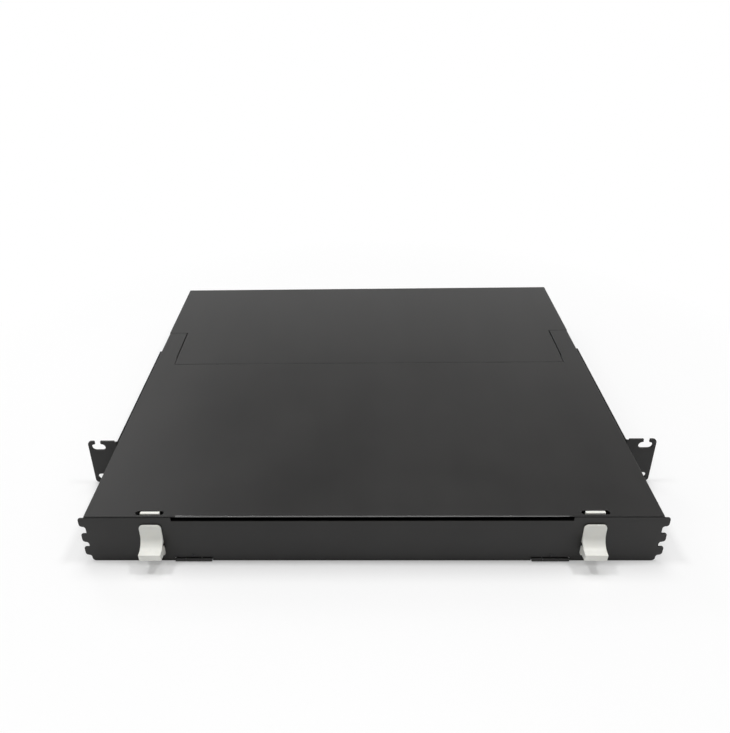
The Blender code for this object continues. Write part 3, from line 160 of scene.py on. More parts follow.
CARRIAGE_FRONT = 1.5 * MM
CARRIAGE_REAR = 3.6 * MM
CARRIAGE_BOTTOM = 20.0 * MM
CARRIAGE_BENDS = (2, 4)
TONGUE_WIDTH = 14.5 * MM
TONGUE_FRONT = 3.2 * MM
TONGUE_REAR = 5.9 * MM
TONGUE_TOP = 44.2 * MM

# Springs
SPRING_WIRE = 0.25 * MM
SPRING_RADIUS = 0.8 * MM
SPRING_TURNS = 5
SPRING_STEPS = 20
WIRE_STEPS = 10

# Fasteners, where a rivet's crown, shank and tail are shares of its head
SCREW_SHANK = 1.5 * MM
PAN_HEAD = ((0.0, 0.0), (2.9 * MM, 0.0), (2.9 * MM, -1.1 * MM), (SCREW_SHANK, -1.1 * MM))
FLUSH_HEAD = ((0.0, 0.0), (2.9 * MM, 0.0), (2.9 * MM, -0.3 * MM), (SCREW_SHANK, -1.6 * MM))
PAN_ROUND = 0.55 * MM
FLUSH_ROUND = 0.12 * MM
CROSS_LENGTH = 3.1 * MM
CROSS_WIDTH = 0.75 * MM
CROSS_DEPTH = 0.75 * MM
RIVET_DOME = 0.5 * MM
RIVET_CROWN = (0.55, 0.3)
RIVET_CROWN_ROUND = 0.3 * MM
RIVET_SHANK = 0.5
RIVET_TAIL = 0.8
PIN_ROUND = 0.25 * MM
STUD_RADIUS = 3.0 * MM
STUD_COLLAR = 2.4 * MM
STUD_POINT = 0.5 * MM
THREAD_PITCH = 1.0 * MM
THREAD_DEPTH = 0.35 * MM
NUT_SIDES = 6
NUT_CUTS = 3
NUT_BORE = 3.25 * MM
NUT_CHAMFER = 0.5 * MM
GROMMET_GROOVE = 1.8 * MM
GROMMET_BORE = 8.5 * MM
GROMMET_SEAT = 12.7 * MM
GROMMET_ROUND = 0.8 * MM

# Cassettes, from the middle of the port face
CASSETTE_BODY_FRONT = 2.0 * MM
CASSETTE_BODY_DEPTH = 108.0 * MM
CASSETTE_BODY_HALF = 47.9 * MM
CASSETTE_CHAMFER = 8.0 * MM
CASSETTE_BASE = 0.9 * MM
CASSETTE_PANEL_INSET = 3.0 * MM
CASSETTE_PANEL_DEPTH = 0.25 * MM
PORT_BLOCK = (12.8 * MM, 4.0 * MM)
PORT_BLOCK_Z = (1.8 * MM, 10.0 * MM)
PORT_PITCH = 15.0 * MM
PORTS = 6
PORT_SIZE = 4.7 * MM
PORT_SPACING = 6.25 * MM
PORT_DEPTH = 1.4 * MM
SHUTTER_FRAME = 0.45 * MM
SHUTTER_RISE = 0.35 * MM
TRUNK_HALF = 6.2 * MM
TRUNK_REACH = 11.0 * MM
CAP_HALF = (4.8 * MM, 3.2 * MM)
CAP_REACH = 6.0 * MM
CAP_RIBS = 3
CAP_RIB = 0.5 * MM
CAP_RIB_SHARE = 0.7

# Plain colours
WHITE = (1.0, 1.0, 1.0)
BLACK = (0.0, 0.0, 0.0)

# Powder coat
COAT_CLOUDS = (11.0, 3.0)
COAT_STREAKS = (30.0, 3.0, (1.0, 0.25, 1.0))
COAT_CLOUD_SHARE = 0.65
COAT_RANGE = (0.35, 0.65)
COAT_SHADES = (0.82, 1.2)
COAT_PEEL = (900.0, 1.0)
COAT_GRIT = (3200.0, 1.0)
COAT_PEEL_SHARE = 0.7
COAT_GRAIN = (0.02 * MM, 0.7)
COAT_ROUGHNESS = 0.4
COAT_CLOUD_ROUGHNESS = 0.12
COAT_GRIT_ROUGHNESS = 0.08
COAT_SHINE = 0.33
SPECK_CELLS = 420.0
SPECK_EDGE = (0.075, 0.055)
SPECK_FIELDS = (60.0, 2.0)
SPECK_FROM = 0.56
SPECK_STRENGTH = 0.35
SPECK_COLOUR = (0.2, 0.2, 0.2)

# White plastic of the latches
LATCH_CLOUDS = (95.0, 3.0)
LATCH_SHADES = (0.95, 1.03)
LATCH_MARKS = (240.0, 4.0, (1.0, 1.0, 0.2))
LATCH_MARK_RANGE = (0.62, 0.72)
LATCH_MARK_SHADE = 0.82
LATCH_MARK_STRENGTH = 0.25
LATCH_NOISE = (2600.0, 2.0)
LATCH_GRAIN = (0.006 * MM, 0.6)
LATCH_ROUGHNESS = 0.36
LATCH_CLOUD_ROUGHNESS = 0.08
LATCH_MARK_ROUGHNESS = 0.1
LATCH_SCATTER = 0.08
LATCH_SCATTER_REACH = (1.2 * MM, 1.0 * MM, 0.8 * MM)

# Black and grey plastic and rubber
MOULDED_CLOUDS = (60.0, 3.0)
MOULDED_SHADES = (0.85, 1.15)
MOULDED_DETAIL = 2.0
MOULDED_STRENGTH = 0.8
MOULDED_CLOUD_ROUGHNESS = 0.1
DUST_CLOUDS = (330.0, 4.0)
DUST_RANGE = (0.6, 0.75)
DUST_STRENGTH = 0.12
DUST_ROUGHNESS = 0.08
DUST_COLOUR = (0.3, 0.3, 0.3)

# Zinc and spring steel
METAL_CLOUDS = (140.0, 3.0)
METAL_RANGE = (0.3, 0.7)
METAL_SHADES = (0.86, 1.08)
METAL_LINES = (2400.0, 2.0)
METAL_GRAIN = (0.004 * MM, 0.6)
METAL_LINE_ROUGHNESS = 0.16
METAL_CLOUD_ROUGHNESS = 0.1
SPANGLE_CELLS = 500.0
SPANGLE_SHADE = 0.7
SPANGLE_STRENGTH = 0.3

# Blackened screws
SCREW_CLOUDS = (700.0, 3.0)
SCREW_COLOURS = ((0.018, 0.018, 0.019), (0.045, 0.045, 0.047))
SCREW_GRAIN = (0.006 * MM, 0.6)
SCREW_ROUGHNESS = 0.34
SCREW_CLOUD_ROUGHNESS = 0.14
SCREW_METAL = 0.75
WORN_CLOUDS = (1500.0, 3.0)
WORN_RANGE = (0.58, 0.72)
WORN_STRENGTH = 0.35
WORN_METAL = 0.2
WORN_COLOUR = (0.3, 0.3, 0.3)

# Camera, fitted to the photograph
CAMERA_PLACE = (-6.21 * MM, -621.90 * MM, 413.19 * MM)
CAMERA_PITCH = math.radians(29.904)
CAMERA_YAW = math.radians(-1.781)
CAMERA_ROLL = math.radians(-1.278)
CAMERA_SENSOR = 36.0
CAMERA_LENS = 36.55
CAMERA_SHIFT = 0.0321

# Stage
FLOOR_DROP = 0.1 * MM
FLOOR_REACH = 30.0
FADE_START = 0.25
FADE_END = 0.5
FLOOR_GLOW = 0.2
FLOOR_CLOUDS = (5.0, 2.0)
FLOOR_SHADE = 0.985
FLOOR_ROUGHNESS = 0.45
FLOOR_CLOUD_ROUGHNESS = 0.05
FLOOR_SHINE = 0.2
# Lamps: name, share of the power, size and place
LAMPS = (
    ("left_lamp", 0.25, 0.3, (-0.9, -0.1, 2.0)),
    ("overhead_lamp", 0.335, 0.9, (0.0, 0.35, 2.0)),
    ("right_lamp", 0.25, 0.3, (0.9, -0.1, 2.0)),
    ("back_left_lamp", 0.045, 0.5, (-0.9, 1.2, 1.2)),
    ("front_left_lamp", 0.06, 0.15, (-0.47, -1.3, 1.7)),
    ("front_right_lamp", 0.06, 0.15, (0.38, -1.3, 1.7)),
)
# The backdrop that gloss reflects: bright up to the lower slope, dim above the upper one
GLOSS_SLOPES = (0.39, 0.465)
GLOSS_BELOW = 1.35
GLOSS_ABOVE = 0.1


class Value:
    """A socket of a node tree that takes part in sums."""

    def __init__(self, nodes, socket):
        self.nodes = nodes
        self.socket = socket

    def maths(self, operation, first, second):
        node = self.nodes.node("ShaderNodeMath", {"operation": operation}, {0: first, 1: second})
        return Value(self.nodes, node.outputs[0])

    def __add__(self, other):
        return self.maths("ADD", self, other)

    __radd__ = __add__

    def __sub__(self, other):
        return self.maths("SUBTRACT", self, other)

    def __rsub__(self, other):
        return self.maths("SUBTRACT", other, self)

    def __mul__(self, other):
        return self.maths("MULTIPLY", self, other)

    __rmul__ = __mul__

    def swing(self, amount):
        """A value from 0 to 1, turned into one around 0 that spans an amount."""
        return (self - 0.5) * amount

    def above(self, level):
        return self.maths("GREATER_THAN", self, level)

    def most(self, other):
        return self.maths("MAXIMUM", self, other)


class Nodes:
    """A node tree in the making."""

    def __init__(self, tree):
        self.tree = tree

    def node(self, kind, settings, inputs):
        """Any node: its settings first, then the values or links of its sockets."""
        node = self.tree.nodes.new(kind)
        for key, value in settings.items():
            setattr(node, key, value)
        for key, value in inputs.items():
            self.feed(node.inputs[key], value)
        return node

    def feed(self, socket, value):
        """Give a socket a link or a plain value."""
        if isinstance(value, Value):
            value = value.socket
        if isinstance(value, bpy.types.NodeSocket):
            self.tree.links.new(value, socket)
        else:
            socket.default_value = value

    def ramp(self, value, low, high, bottom=0.0, top=1.0):
        """A value spread out so that low becomes the bottom and high the top."""
        inputs = {"Value": value, "From Min": low, "From Max": high, "To Min": bottom, "To Max": top}
        return Value(self, self.node("ShaderNodeMapRange", {}, inputs).outputs[0])

    def parts(self, vector):
        """The X, Y and Z of a vector."""
        outputs = self.node("ShaderNodeSeparateXYZ", {}, {0: vector}).outputs
        return [Value(self, part) for part in outputs]

    def rays(self, *kinds):
        """1 for rays of these kinds, and 0 for others."""
        outputs = self.node("ShaderNodeLightPath", {}, {}).outputs
        seen = Value(self, outputs[f"Is {kinds[0]} Ray"])
        for kind in kinds[1:]:
            seen = seen.most(Value(self, outputs[f"Is {kind} Ray"]))
        return seen


class Paint(Nodes):
    """A node material in the making."""

    def __init__(self, name):
        self.material = bpy.data.materials.new(name)
        self.material.use_nodes = True
        super().__init__(self.material.node_tree)
        self.shader = self.tree.nodes["Principled BSDF"]
        self.place = self.node("ShaderNodeTexCoord", {}, {}).outputs["Object"]

    def noise(self, scale, detail, stretch=None):
        """Cloudy noise from 0 to 1, by object coordinates."""
        place = self.place
        if stretch is not None:
            place = self.node("ShaderNodeMapping", {}, {"Vector": place, "Scale": stretch}).outputs[0]
        inputs = {"Vector": place, "Scale": scale, "Detail": detail}
        return Value(self, self.node("ShaderNodeTexNoise", {}, inputs).outputs["Fac"])

    def cells(self, scale):
        """The distance to the nearest of scattered points."""
        inputs = {"Vector": self.place, "Scale": scale}
        return Value(self, self.node("ShaderNodeTexVoronoi", {}, inputs).outputs["Distance"])

    def blend(self, factor, first, second):
        """A colour between two, in linear values."""
        inputs = {0: factor, 6: opaque(first), 7: opaque(second)}
        return Value(self, self.node("ShaderNodeMix", {"data_type": "RGBA"}, inputs).outputs[2])

    def bump(self, height, distance, strength):
        inputs = {"Height": height, "Distance": distance, "Strength": strength}
        return self.node("ShaderNodeBump", {}, inputs).outputs[0]

    def set(self, **values):
        """Feed the shader's own sockets by name, with spaces written as underscores."""
        for key, value in values.items():
            self.feed(self.shader.inputs[key.replace("_", " ")], value)
        return self.material


def opaque(colour):
    """A colour with its alpha, or a link left as it is."""
    if isinstance(colour, Value):
        return colour
    return (colour[0], colour[1], colour[2], 1.0)


def scaled(colour, factor):
    """A colour made lighter or darker."""
    return tuple(channel * factor for channel in colour[:3])


def shaded(paint, factor, colour, shades):
    """A colour that varies between its darkest and its lightest shade."""
    darkest, lightest = shades
    return paint.blend(factor, scaled(colour, darkest), scaled(colour, lightest))


def powder_coat(name):
    """Satin black powder coat with fine orange peel.

    It is rubbed glossy along the lid's front edge, and rougher with painted shade on the legs' upper edges.
    """
    paint = Paint(name)
    x, y, z = paint.parts(paint.place)
    across = x.most(0.0 - x)
    front = -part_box("front_door")[0].y
    lid_edge = z.above(cad_box[1][2] - RUBBED_EDGE) * (0.0 - y).above(front - RUBBED_EDGE)
    rubbed = lid_edge * (1.0 - across.above(RUBBED_HALF))
    inner, outer = SHADED_ROUGH_LEGS
    # Mask of the legs' upper edges, for their rougher coat and their painted shade
    rough_and_shaded_legs = across.above(inner) * (1.0 - across.above(outer)) * z.above(SHADED_ROUGH_FROM)
    clouds = paint.noise(*COAT_CLOUDS)
    streaks = paint.noise(*COAT_STREAKS)
    peel = paint.noise(*COAT_PEEL)
    grit = paint.noise(*COAT_GRIT)
    specks = paint.ramp(paint.cells(SPECK_CELLS), *SPECK_EDGE) * paint.noise(*SPECK_FIELDS).above(SPECK_FROM)
    tone = paint.ramp(clouds * COAT_CLOUD_SHARE + streaks * (1.0 - COAT_CLOUD_SHARE), *COAT_RANGE)
    body = shaded(paint, tone, bpy.context.scene.patch_panel.coat_colour, COAT_SHADES)
    body = paint.blend(specks * SPECK_STRENGTH, body, SPECK_COLOUR)
    uneven = clouds.swing(COAT_CLOUD_ROUGHNESS) + grit.swing(COAT_GRIT_ROUGHNESS)
    return paint.set(
        # Painted shade: the legs' upper edges darkened towards black
        Base_Color=paint.blend(rough_and_shaded_legs * LEG_PAINTED_SHADE, body, BLACK),
        Roughness=COAT_ROUGHNESS + uneven + rough_and_shaded_legs * MATT_ROUGHNESS,
        Specular_IOR_Level=COAT_SHINE,
        Coat_Weight=rubbed,
        Coat_Roughness=RUBBED_ROUGHNESS,
        Coat_IOR=RUBBED_IOR,
        Normal=paint.bump(peel * COAT_PEEL_SHARE + grit * (1.0 - COAT_PEEL_SHARE), *COAT_GRAIN),
    )


def white_plastic(name):
    """Warm white moulded plastic with a satin skin and faint handling marks."""
    paint = Paint(name)
    colour = bpy.context.scene.patch_panel.latch_colour
    clouds = paint.noise(*LATCH_CLOUDS)
    marks = paint.ramp(paint.noise(*LATCH_MARKS), *LATCH_MARK_RANGE)
    body = shaded(paint, clouds, colour, LATCH_SHADES)
    return paint.set(
        Base_Color=paint.blend(marks * LATCH_MARK_STRENGTH, body, scaled(colour, LATCH_MARK_SHADE)),
        Roughness=LATCH_ROUGHNESS + clouds * LATCH_CLOUD_ROUGHNESS + marks * LATCH_MARK_ROUGHNESS,
        Subsurface_Weight=LATCH_SCATTER,
        Subsurface_Radius=LATCH_SCATTER_REACH,
        Normal=paint.bump(paint.noise(*LATCH_NOISE), *LATCH_GRAIN),
    )


def moulded(name, colour, roughness, grain_scale, grain_depth):
    """Textured moulded plastic or rubber of one hue, a little dusty."""
    paint = Paint(name)
    clouds = paint.noise(*MOULDED_CLOUDS)
    grain = paint.noise(grain_scale, MOULDED_DETAIL)
    dust = paint.ramp(paint.noise(*DUST_CLOUDS), *DUST_RANGE)
    body = shaded(paint, clouds, colour, MOULDED_SHADES)
    return paint.set(
        Base_Color=paint.blend(dust * DUST_STRENGTH, body, DUST_COLOUR),
        Roughness=roughness + clouds.swing(MOULDED_CLOUD_ROUGHNESS) + dust * DUST_ROUGHNESS,
        Normal=paint.bump(grain, grain_depth, MOULDED_STRENGTH),
    )


def black_plastic(name):
    """The cassettes' and rails' black plastic with a spark-eroded grain."""
    return moulded(
        name, colour=(0.03, 0.03, 0.032), roughness=0.5, grain_scale=1900.0, grain_depth=0.02 * MM)


def grey_plastic(name):
    """The trays' grey pull tabs."""
    return moulded(
        name, colour=(0.3, 0.31, 0.32), roughness=0.45, grain_scale=2300.0, grain_depth=0.012 * MM)


def rubber(name):
    """Dull black rubber."""
    return moulded(
        name, colour=(0.018, 0.018, 0.018), roughness=0.72, grain_scale=1300.0, grain_depth=0.03 * MM)


def plated(name, colour, roughness, direction):
    """Plated or drawn metal with fine lines along one direction and faint spangles."""
    paint = Paint(name)
    lines = paint.noise(*METAL_LINES, direction)
    clouds = paint.noise(*METAL_CLOUDS)
    body = shaded(paint, paint.ramp(clouds, *METAL_RANGE), colour, METAL_SHADES)
    spangle = paint.cells(SPANGLE_CELLS) * SPANGLE_STRENGTH
    return paint.set(
        Base_Color=paint.blend(spangle, body, scaled(colour, SPANGLE_SHADE)),
        Roughness=roughness + lines.swing(METAL_LINE_ROUGHNESS) + clouds.swing(METAL_CLOUD_ROUGHNESS),
        Metallic=1.0,
        Normal=paint.bump(lines, *METAL_GRAIN),
    )


def zinc(name):
    """Zinc-plated steel, a little blue."""
    return plated(name, colour=(0.55, 0.56, 0.58), roughness=0.36, direction=(0.15, 1.0, 1.0))


def steel(name):
    """Drawn spring steel."""
    return plated(name, colour=(0.58, 0.58, 0.58), roughness=0.28, direction=(0.2, 1.0, 1.0))


def black_screw(name):
    """Blackened screws, a little bright on their high spots."""
    paint = Paint(name)
    clouds = paint.noise(*SCREW_CLOUDS)
    worn = paint.ramp(paint.noise(*WORN_CLOUDS), *WORN_RANGE)
    body = paint.blend(clouds, *SCREW_COLOURS)
    return paint.set(
        Base_Color=paint.blend(worn * WORN_STRENGTH, body, WORN_COLOUR),
        Roughness=SCREW_ROUGHNESS + clouds * SCREW_CLOUD_ROUGHNESS,
        Metallic=SCREW_METAL + worn * WORN_METAL,
        Normal=paint.bump(clouds, *SCREW_GRAIN),
    )


FINISHES = {
    "black_powder_coat": powder_coat,
    "white_plastic": white_plastic,
    "black_plastic": black_plastic,
    "grey_plastic": grey_plastic,
    "rubber": rubber,
    "zinc": zinc,
    "steel": steel,
    "black_screw": black_screw,
}


def finish(slot):
    """The material of a slot, made when it is first wanted."""
    name = f"{slot}_finish"
    return bpy.data.materials.get(name) or FINISHES[slot](name)


def add_piece(name, shape, body, slot, *nodes):
    """Make a shape a piece in a slot's finish, that rides on a body and stands for nodes."""
    bmesh.ops.recalc_face_normals(shape, faces=shape.faces)
    mesh = bpy.data.meshes.new(name)
    shape.to_mesh(mesh)
    shape.free()
    mesh.shade_smooth()
    mesh.materials.append(finish(slot))
    piece = bpy.data.objects.new(name, mesh)
    bpy.context.scene.collection.objects.link(piece)
    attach(piece, body)
    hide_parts(*nodes)
    return piece


def round_edges(piece, width, segments=EDGE_STEPS):
    """Round a piece's sharp edges and keep its flats flat."""
    rounding = piece.modifiers.new("rounded_edges", "BEVEL")
    rounding.width = width
    rounding.segments = segments
    rounding.limit_method = "ANGLE"
    rounding.angle_limit = SHARP
    rounding.use_clamp_overlap = False
    level = piece.modifiers.new("level_flats", "WEIGHTED_NORMAL")
    level.keep_sharp = True


def copied(name, node, slot, width, segments=EDGE_STEPS):
    """A node's own shape, welded, with its edges rounded."""
    shape = bmesh.new()
    shape.from_mesh(frame["nodes"][node].data)
    bmesh.ops.remove_doubles(shape, verts=shape.verts, dist=WELD)
    bmesh.ops.dissolve_limit(shape, angle_limit=FLAT, verts=shape.verts, edges=shape.edges)
    piece = add_piece(name, shape, BODY_OF[node], slot, node)
    round_edges(piece, width, segments)


def add_box(shape, low, high):
    """A box between two corners."""
    made = bmesh.ops.create_cube(shape, size=1.0)["verts"]
    low, high = Vector(low), Vector(high)
    bmesh.ops.scale(shape, vec=high - low, verts=made)
    bmesh.ops.translate(shape, vec=(low + high) / 2, verts=made)


def bevel(shape, geom, width, steps, kind):
    """Round corners or edges of a shape."""
    bmesh.ops.bevel(shape, geom=geom, offset=width, offset_type="OFFSET", segments=steps, profile=0.5,
                    affect=kind, material=-1)


def everything(shape):
    """All points, edges and faces of a shape."""
    return list(shape.verts) + list(shape.edges) + list(shape.faces)


def at_one_x(edge):
    """Whether both ends of an edge lie equally far across the panel."""
    return abs(edge.verts[0].co.x - edge.verts[1].co.x) < WELD


def add_prism(shape, corners, rounds, left, right):
    """An outline in Y and Z, with some corners rounded, drawn out along X."""
    points = [shape.verts.new((left, y, z)) for y, z in corners]
    face = shape.faces.new(points)
    for number, radius, steps in rounds:
        bevel(shape, [points[number]], radius, steps, "VERTICES")
    face = [face] if face.is_valid else shape.faces[-1:]
    made = bmesh.ops.extrude_face_region(shape, geom=face)["geom"]
    grown = [item for item in made if isinstance(item, bmesh.types.BMVert)]
    bmesh.ops.translate(shape, vec=(right - left, 0.0, 0.0), verts=grown)


def add_turned(shape, profile, rounds=(), steps=TURN_STEPS):
    """A profile of radius and height turned about Z."""
    points = [shape.verts.new((radius, 0.0, height)) for radius, height in profile]
    edges = [shape.edges.new(pair) for pair in zip(points, points[1:])]
    if profile[0][0] > 0.0:
        edges.append(shape.edges.new((points[-1], points[0])))
    for number, radius in rounds:
        bevel(shape, [points[number]], radius, CORNER_STEPS, "VERTICES")
    rim = list(shape.verts) + list(shape.edges)
    bmesh.ops.spin(shape, geom=rim, cent=(0.0, 0.0, 0.0), axis=(0.0, 0.0, 1.0), dvec=(0.0, 0.0, 0.0),
                   angle=math.tau, steps=steps, use_merge=True, use_duplicate=False)
    bmesh.ops.remove_doubles(shape, verts=shape.verts, dist=WELD)


def stand(shape, point, axis):
    """Turn a shape made along Z to an axis, and move it to a point."""
    turn = Vector(axis).to_track_quat("Z", "Y").to_matrix().to_4x4()
    bmesh.ops.transform(shape, matrix=Matrix.Translation(point) @ turn, verts=shape.verts)


def stamp(shape, mesh, offset):
    """Add a copy of a mesh at an offset."""
    before = len(shape.verts)
    shape.from_mesh(mesh)
    shape.verts.ensure_lookup_table()
    bmesh.ops.translate(shape, vec=offset, verts=shape.verts[before:])


def middle(node):
    """The middle of a node's box."""
    low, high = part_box(node)
    return (low + high) / 2


class PatchPanelLook(bpy.types.PropertyGroup):
    """Sizes and colours of the panel's looks."""

    coat_colour: FloatVectorProperty(
        name="Coat colour", description="Colour of the powder coat", subtype="COLOR",
        default=(0.0168, 0.0162, 0.0156), min=0.0, max=1.0)
    latch_colour: FloatVectorProperty(
        name="Latch colour", description="Colour of the latches' plastic", subtype="COLOR",
        default=(0.81, 0.81, 0.76), min=0.0, max=1.0)
    lid_round: FloatProperty(
        name="Lid edge", description="Rounding of the lid's edges", unit="LENGTH",
        default=0.5 * MM, min=0.0)
    sheet_round: FloatProperty(
        name="Sheet edge", description="Rounding of the sheet metal's edges", unit="LENGTH",
        default=0.22 * MM, min=0.0)
    latch_round: FloatProperty(
        name="Latch edge", description="Rounding of the latches' edges", unit="LENGTH",
        default=0.45 * MM, min=0.0)
    round_steps: IntProperty(
        name="Edge steps", description="Faces across a rounded edge",
        default=EDGE_STEPS, min=1, max=8)


class PatchPanelStage(bpy.types.PropertyGroup):
    """Light of the stage."""

    lamp_power: FloatProperty(
        name="Lamps", description="Power of all lamps together", unit="POWER",
        default=46.0, min=0.0)
    ambient: FloatProperty(
        name="Ambient", description="Strength of the light from all around", default=0.22, min=0.0)
    floor_colour: FloatVectorProperty(
        name="Floor colour", description="Colour of the floor", subtype="COLOR",
        default=(0.9, 0.9, 0.9), min=0.0, max=1.0)


class PATCH_PANEL_OT_stage(bpy.types.Operator):
    """Make the floor, the lamps, the white surroundings and the camera"""

    bl_idname = "patch_panel.stage"
    bl_label = "Stage"

    def execute(self, context):
        look = context.scene.patch_panel_stage
        shape = bmesh.new()
        bmesh.ops.create_grid(shape, x_segments=1, y_segments=1, size=FLOOR_REACH)
        bmesh.ops.translate(shape, vec=(0.0, 0.0, cad_box[0][2] - FLOOR_DROP), verts=shape.verts)
        mesh = bpy.data.meshes.new("floor")
        shape.to_mesh(mesh)
        shape.free()
        mesh.materials.append(self.floor_material(look))
        floor = bpy.data.objects.new("floor", mesh)
        context.scene.collection.objects.link(floor)
        for name, share, size, place in LAMPS:
            self.lamp(name, look.lamp_power * share, size, place)
        self.surroundings(context.scene, look.ambient)
        self.camera(context.scene)
        context.scene.view_settings.view_transform = "Standard"
        return {"FINISHED"}

    @staticmethod
    def floor_material(look):
        """A pale glossy table that looks white to the camera and keeps the shadow."""
        paint = Paint("table_top")
        clouds = paint.noise(*FLOOR_CLOUDS)
        paint.set(
            Base_Color=paint.blend(clouds, scaled(look.floor_colour, FLOOR_SHADE), look.floor_colour),
            Roughness=FLOOR_ROUGHNESS + clouds * FLOOR_CLOUD_ROUGHNESS,
            Specular_IOR_Level=FLOOR_SHINE,
        )
        reach = paint.node("ShaderNodeVectorMath", {"operation": "LENGTH"}, {0: paint.place})
        glow = paint.ramp(reach.outputs["Value"], FADE_START, FADE_END, FLOOR_GLOW)
        white = paint.node("ShaderNodeEmission", {}, {"Color": opaque(WHITE), "Strength": 1.0})
        share = paint.rays("Camera", "Transmission") * glow
        inputs = {0: share, 1: paint.shader.outputs[0], 2: white.outputs[0]}
        mixed = paint.node("ShaderNodeMixShader", {}, inputs)
        paint.feed(paint.tree.nodes["Material Output"].inputs["Surface"], mixed.outputs[0])
        return paint.material

    @staticmethod
    def lamp(name, power, size, place):
        """A square soft lamp that faces the panel."""
        light = bpy.data.lights.new(name, "AREA")
        light.energy = power
        light.size = size
        lamp = bpy.data.objects.new(name, light)
        lamp.location = place
        lamp.rotation_euler = (-Vector(place)).to_track_quat("-Z", "Y").to_euler()
        bpy.context.scene.collection.objects.link(lamp)

    @staticmethod
    def surroundings(scene, ambient):
        """White for the eye, a backdrop that dims upwards for gloss, plain soft light elsewhere."""
        world = bpy.data.worlds.new("surroundings")
        scene.world = world
        world.use_nodes = True
        nodes = Nodes(world.node_tree)
        slope = nodes.parts(nodes.node("ShaderNodeTexCoord", {}, {}).outputs["Generated"])[2]
        backdrop = nodes.ramp(slope, *GLOSS_SLOPES, GLOSS_BELOW, GLOSS_ABOVE)
        seen = nodes.ramp(nodes.rays("Camera", "Transmission"), 0.0, 1.0, backdrop)
        strength = nodes.ramp(nodes.rays("Camera", "Transmission", "Glossy"), 0.0, 1.0, ambient, seen)
        background = nodes.tree.nodes["Background"]
        nodes.feed(background.inputs["Strength"], strength)
        nodes.feed(background.inputs["Color"], opaque(WHITE))

    @staticmethod
    def camera(scene):
        """The camera at the photograph's place."""
        lens = bpy.data.cameras.new("photo_camera")
        lens.sensor_width = CAMERA_SENSOR
        lens.lens = CAMERA_LENS
        lens.shift_x = CAMERA_SHIFT
        camera = bpy.data.objects.new("photo_camera", lens)
        turn = Matrix.Rotation(-CAMERA_YAW, 4, "Z") @ Matrix.Rotation(math.pi / 2 - CAMERA_PITCH, 4, "X")
        turn = turn @ Matrix.Rotation(CAMERA_ROLL, 4, "Z")
        camera.matrix_world = Matrix.Translation(CAMERA_PLACE) @ turn
        scene.collection.objects.link(camera)
        scene.camera = camera


class PATCH_PANEL_OT_sheet_metal(bpy.types.Operator):
    """Make the lid, the chassis, the rear wall, the door and the ears with rounded sheet edges"""

    bl_idname = "patch_panel.sheet_metal"
    bl_label = "Sheet metal"

    def execute(self, context):
        look = context.scene.patch_panel
        for name, node in (("front_lid", "front_cover"), ("rear_lid", "rear_cover")):
            copied(name, node, "black_powder_coat", look.lid_round, look.round_steps)
        copied("folded_pan", "chassis_pan", "black_powder_coat", CURL_EDGE, look.round_steps)
        pieces = {
            "rear_wall": "rear_panel",
            "toothed_door": "front_door",
            "tie_bar": "cable_tie_bar",
            "ear_left": "bracket_left",
            "ear_right": "bracket_right",
        }
        for name, node in pieces.items():
            copied(name, node, "black_powder_coat", look.sheet_round, look.round_steps)
        return {"FINISHED"}


class PATCH_PANEL_OT_latches(bpy.types.Operator):
    """Make the two moulded latches"""

    bl_idname = "patch_panel.latches"
    bl_label = "Latches"

    def execute(self, context):
        look = context.scene.patch_panel
        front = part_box("front_door")[0].y
        for word in SIDES:
            node = f"latch_{word}"
            centre = middle(node).x
            shape = self.thumb(centre, front)
            self.slider(shape, centre, front)
            piece = add_piece(f"{node}_moulding", shape, node, "white_plastic", node)
            round_edges(piece, look.latch_round, look.round_steps)
        return {"FINISHED"}

    @staticmethod
    def thumb(centre, front):
        """The thumb piece: flat above, swept out to a lip below, notched behind."""
        corners = [
            (LATCH_BACK, LATCH_TOP),
            (LATCH_FACE, LATCH_TOP),
            (LATCH_FACE, LIP_TOP),
            (LIP_FRONT, LIP_TOP),
            LIP_UNDER,
            LATCH_BELLY,
            LATCH_FOOT,
            (LATCH_BACK, LATCH_FOOT[1]),
            *LATCH_NOTCH,
        ]
        rounds = ((2, LATCH_SWEEP, LATCH_SWEEP_STEPS), (3, LIP_ROUND, EDGE_STEPS))
        shape = bmesh.new()
        half = LATCH_WIDTH / 2
        placed = [(front + y, z) for y, z in corners]
        add_prism(shape, placed, rounds, centre - half, centre + half)
        shape.normal_update()
        tops = [edge for edge in shape.edges
                if at_one_x(edge) and all(abs(vert.co.z - LATCH_TOP) < WELD for vert in edge.verts)]
        bevel(shape, tops, LATCH_CORNER, LATCH_CORNER_STEPS, "EDGES")
        return shape

    @staticmethod
    def slider(shape, centre, front):
        """The neck through the door, and the carriage with the tongue behind it."""
        half = NECK_WIDTH / 2
        add_box(shape, (centre - half, front + LATCH_FACE / 2, NECK_BOTTOM),
                (centre + half, front + CARRIAGE_FRONT + NO_GAP, NECK_TOP))
        step = CARRIAGE_REAR - CARRIAGE_FRONT
        lower_bend, upper_bend = (NECK_TOP + steps * step for steps in CARRIAGE_BENDS)
        corners = [
            (CARRIAGE_FRONT, CARRIAGE_BOTTOM),
            (CARRIAGE_REAR, CARRIAGE_BOTTOM),
            (CARRIAGE_REAR, lower_bend),
            (TONGUE_REAR, upper_bend),
            (TONGUE_REAR, TONGUE_TOP),
            (TONGUE_FRONT, TONGUE_TOP),
            (TONGUE_FRONT, upper_bend),
            (CARRIAGE_FRONT, lower_bend),
        ]
        half = TONGUE_WIDTH / 2
        placed = [(front + y, z) for y, z in corners]
        add_prism(shape, placed, (), centre - half, centre + half)


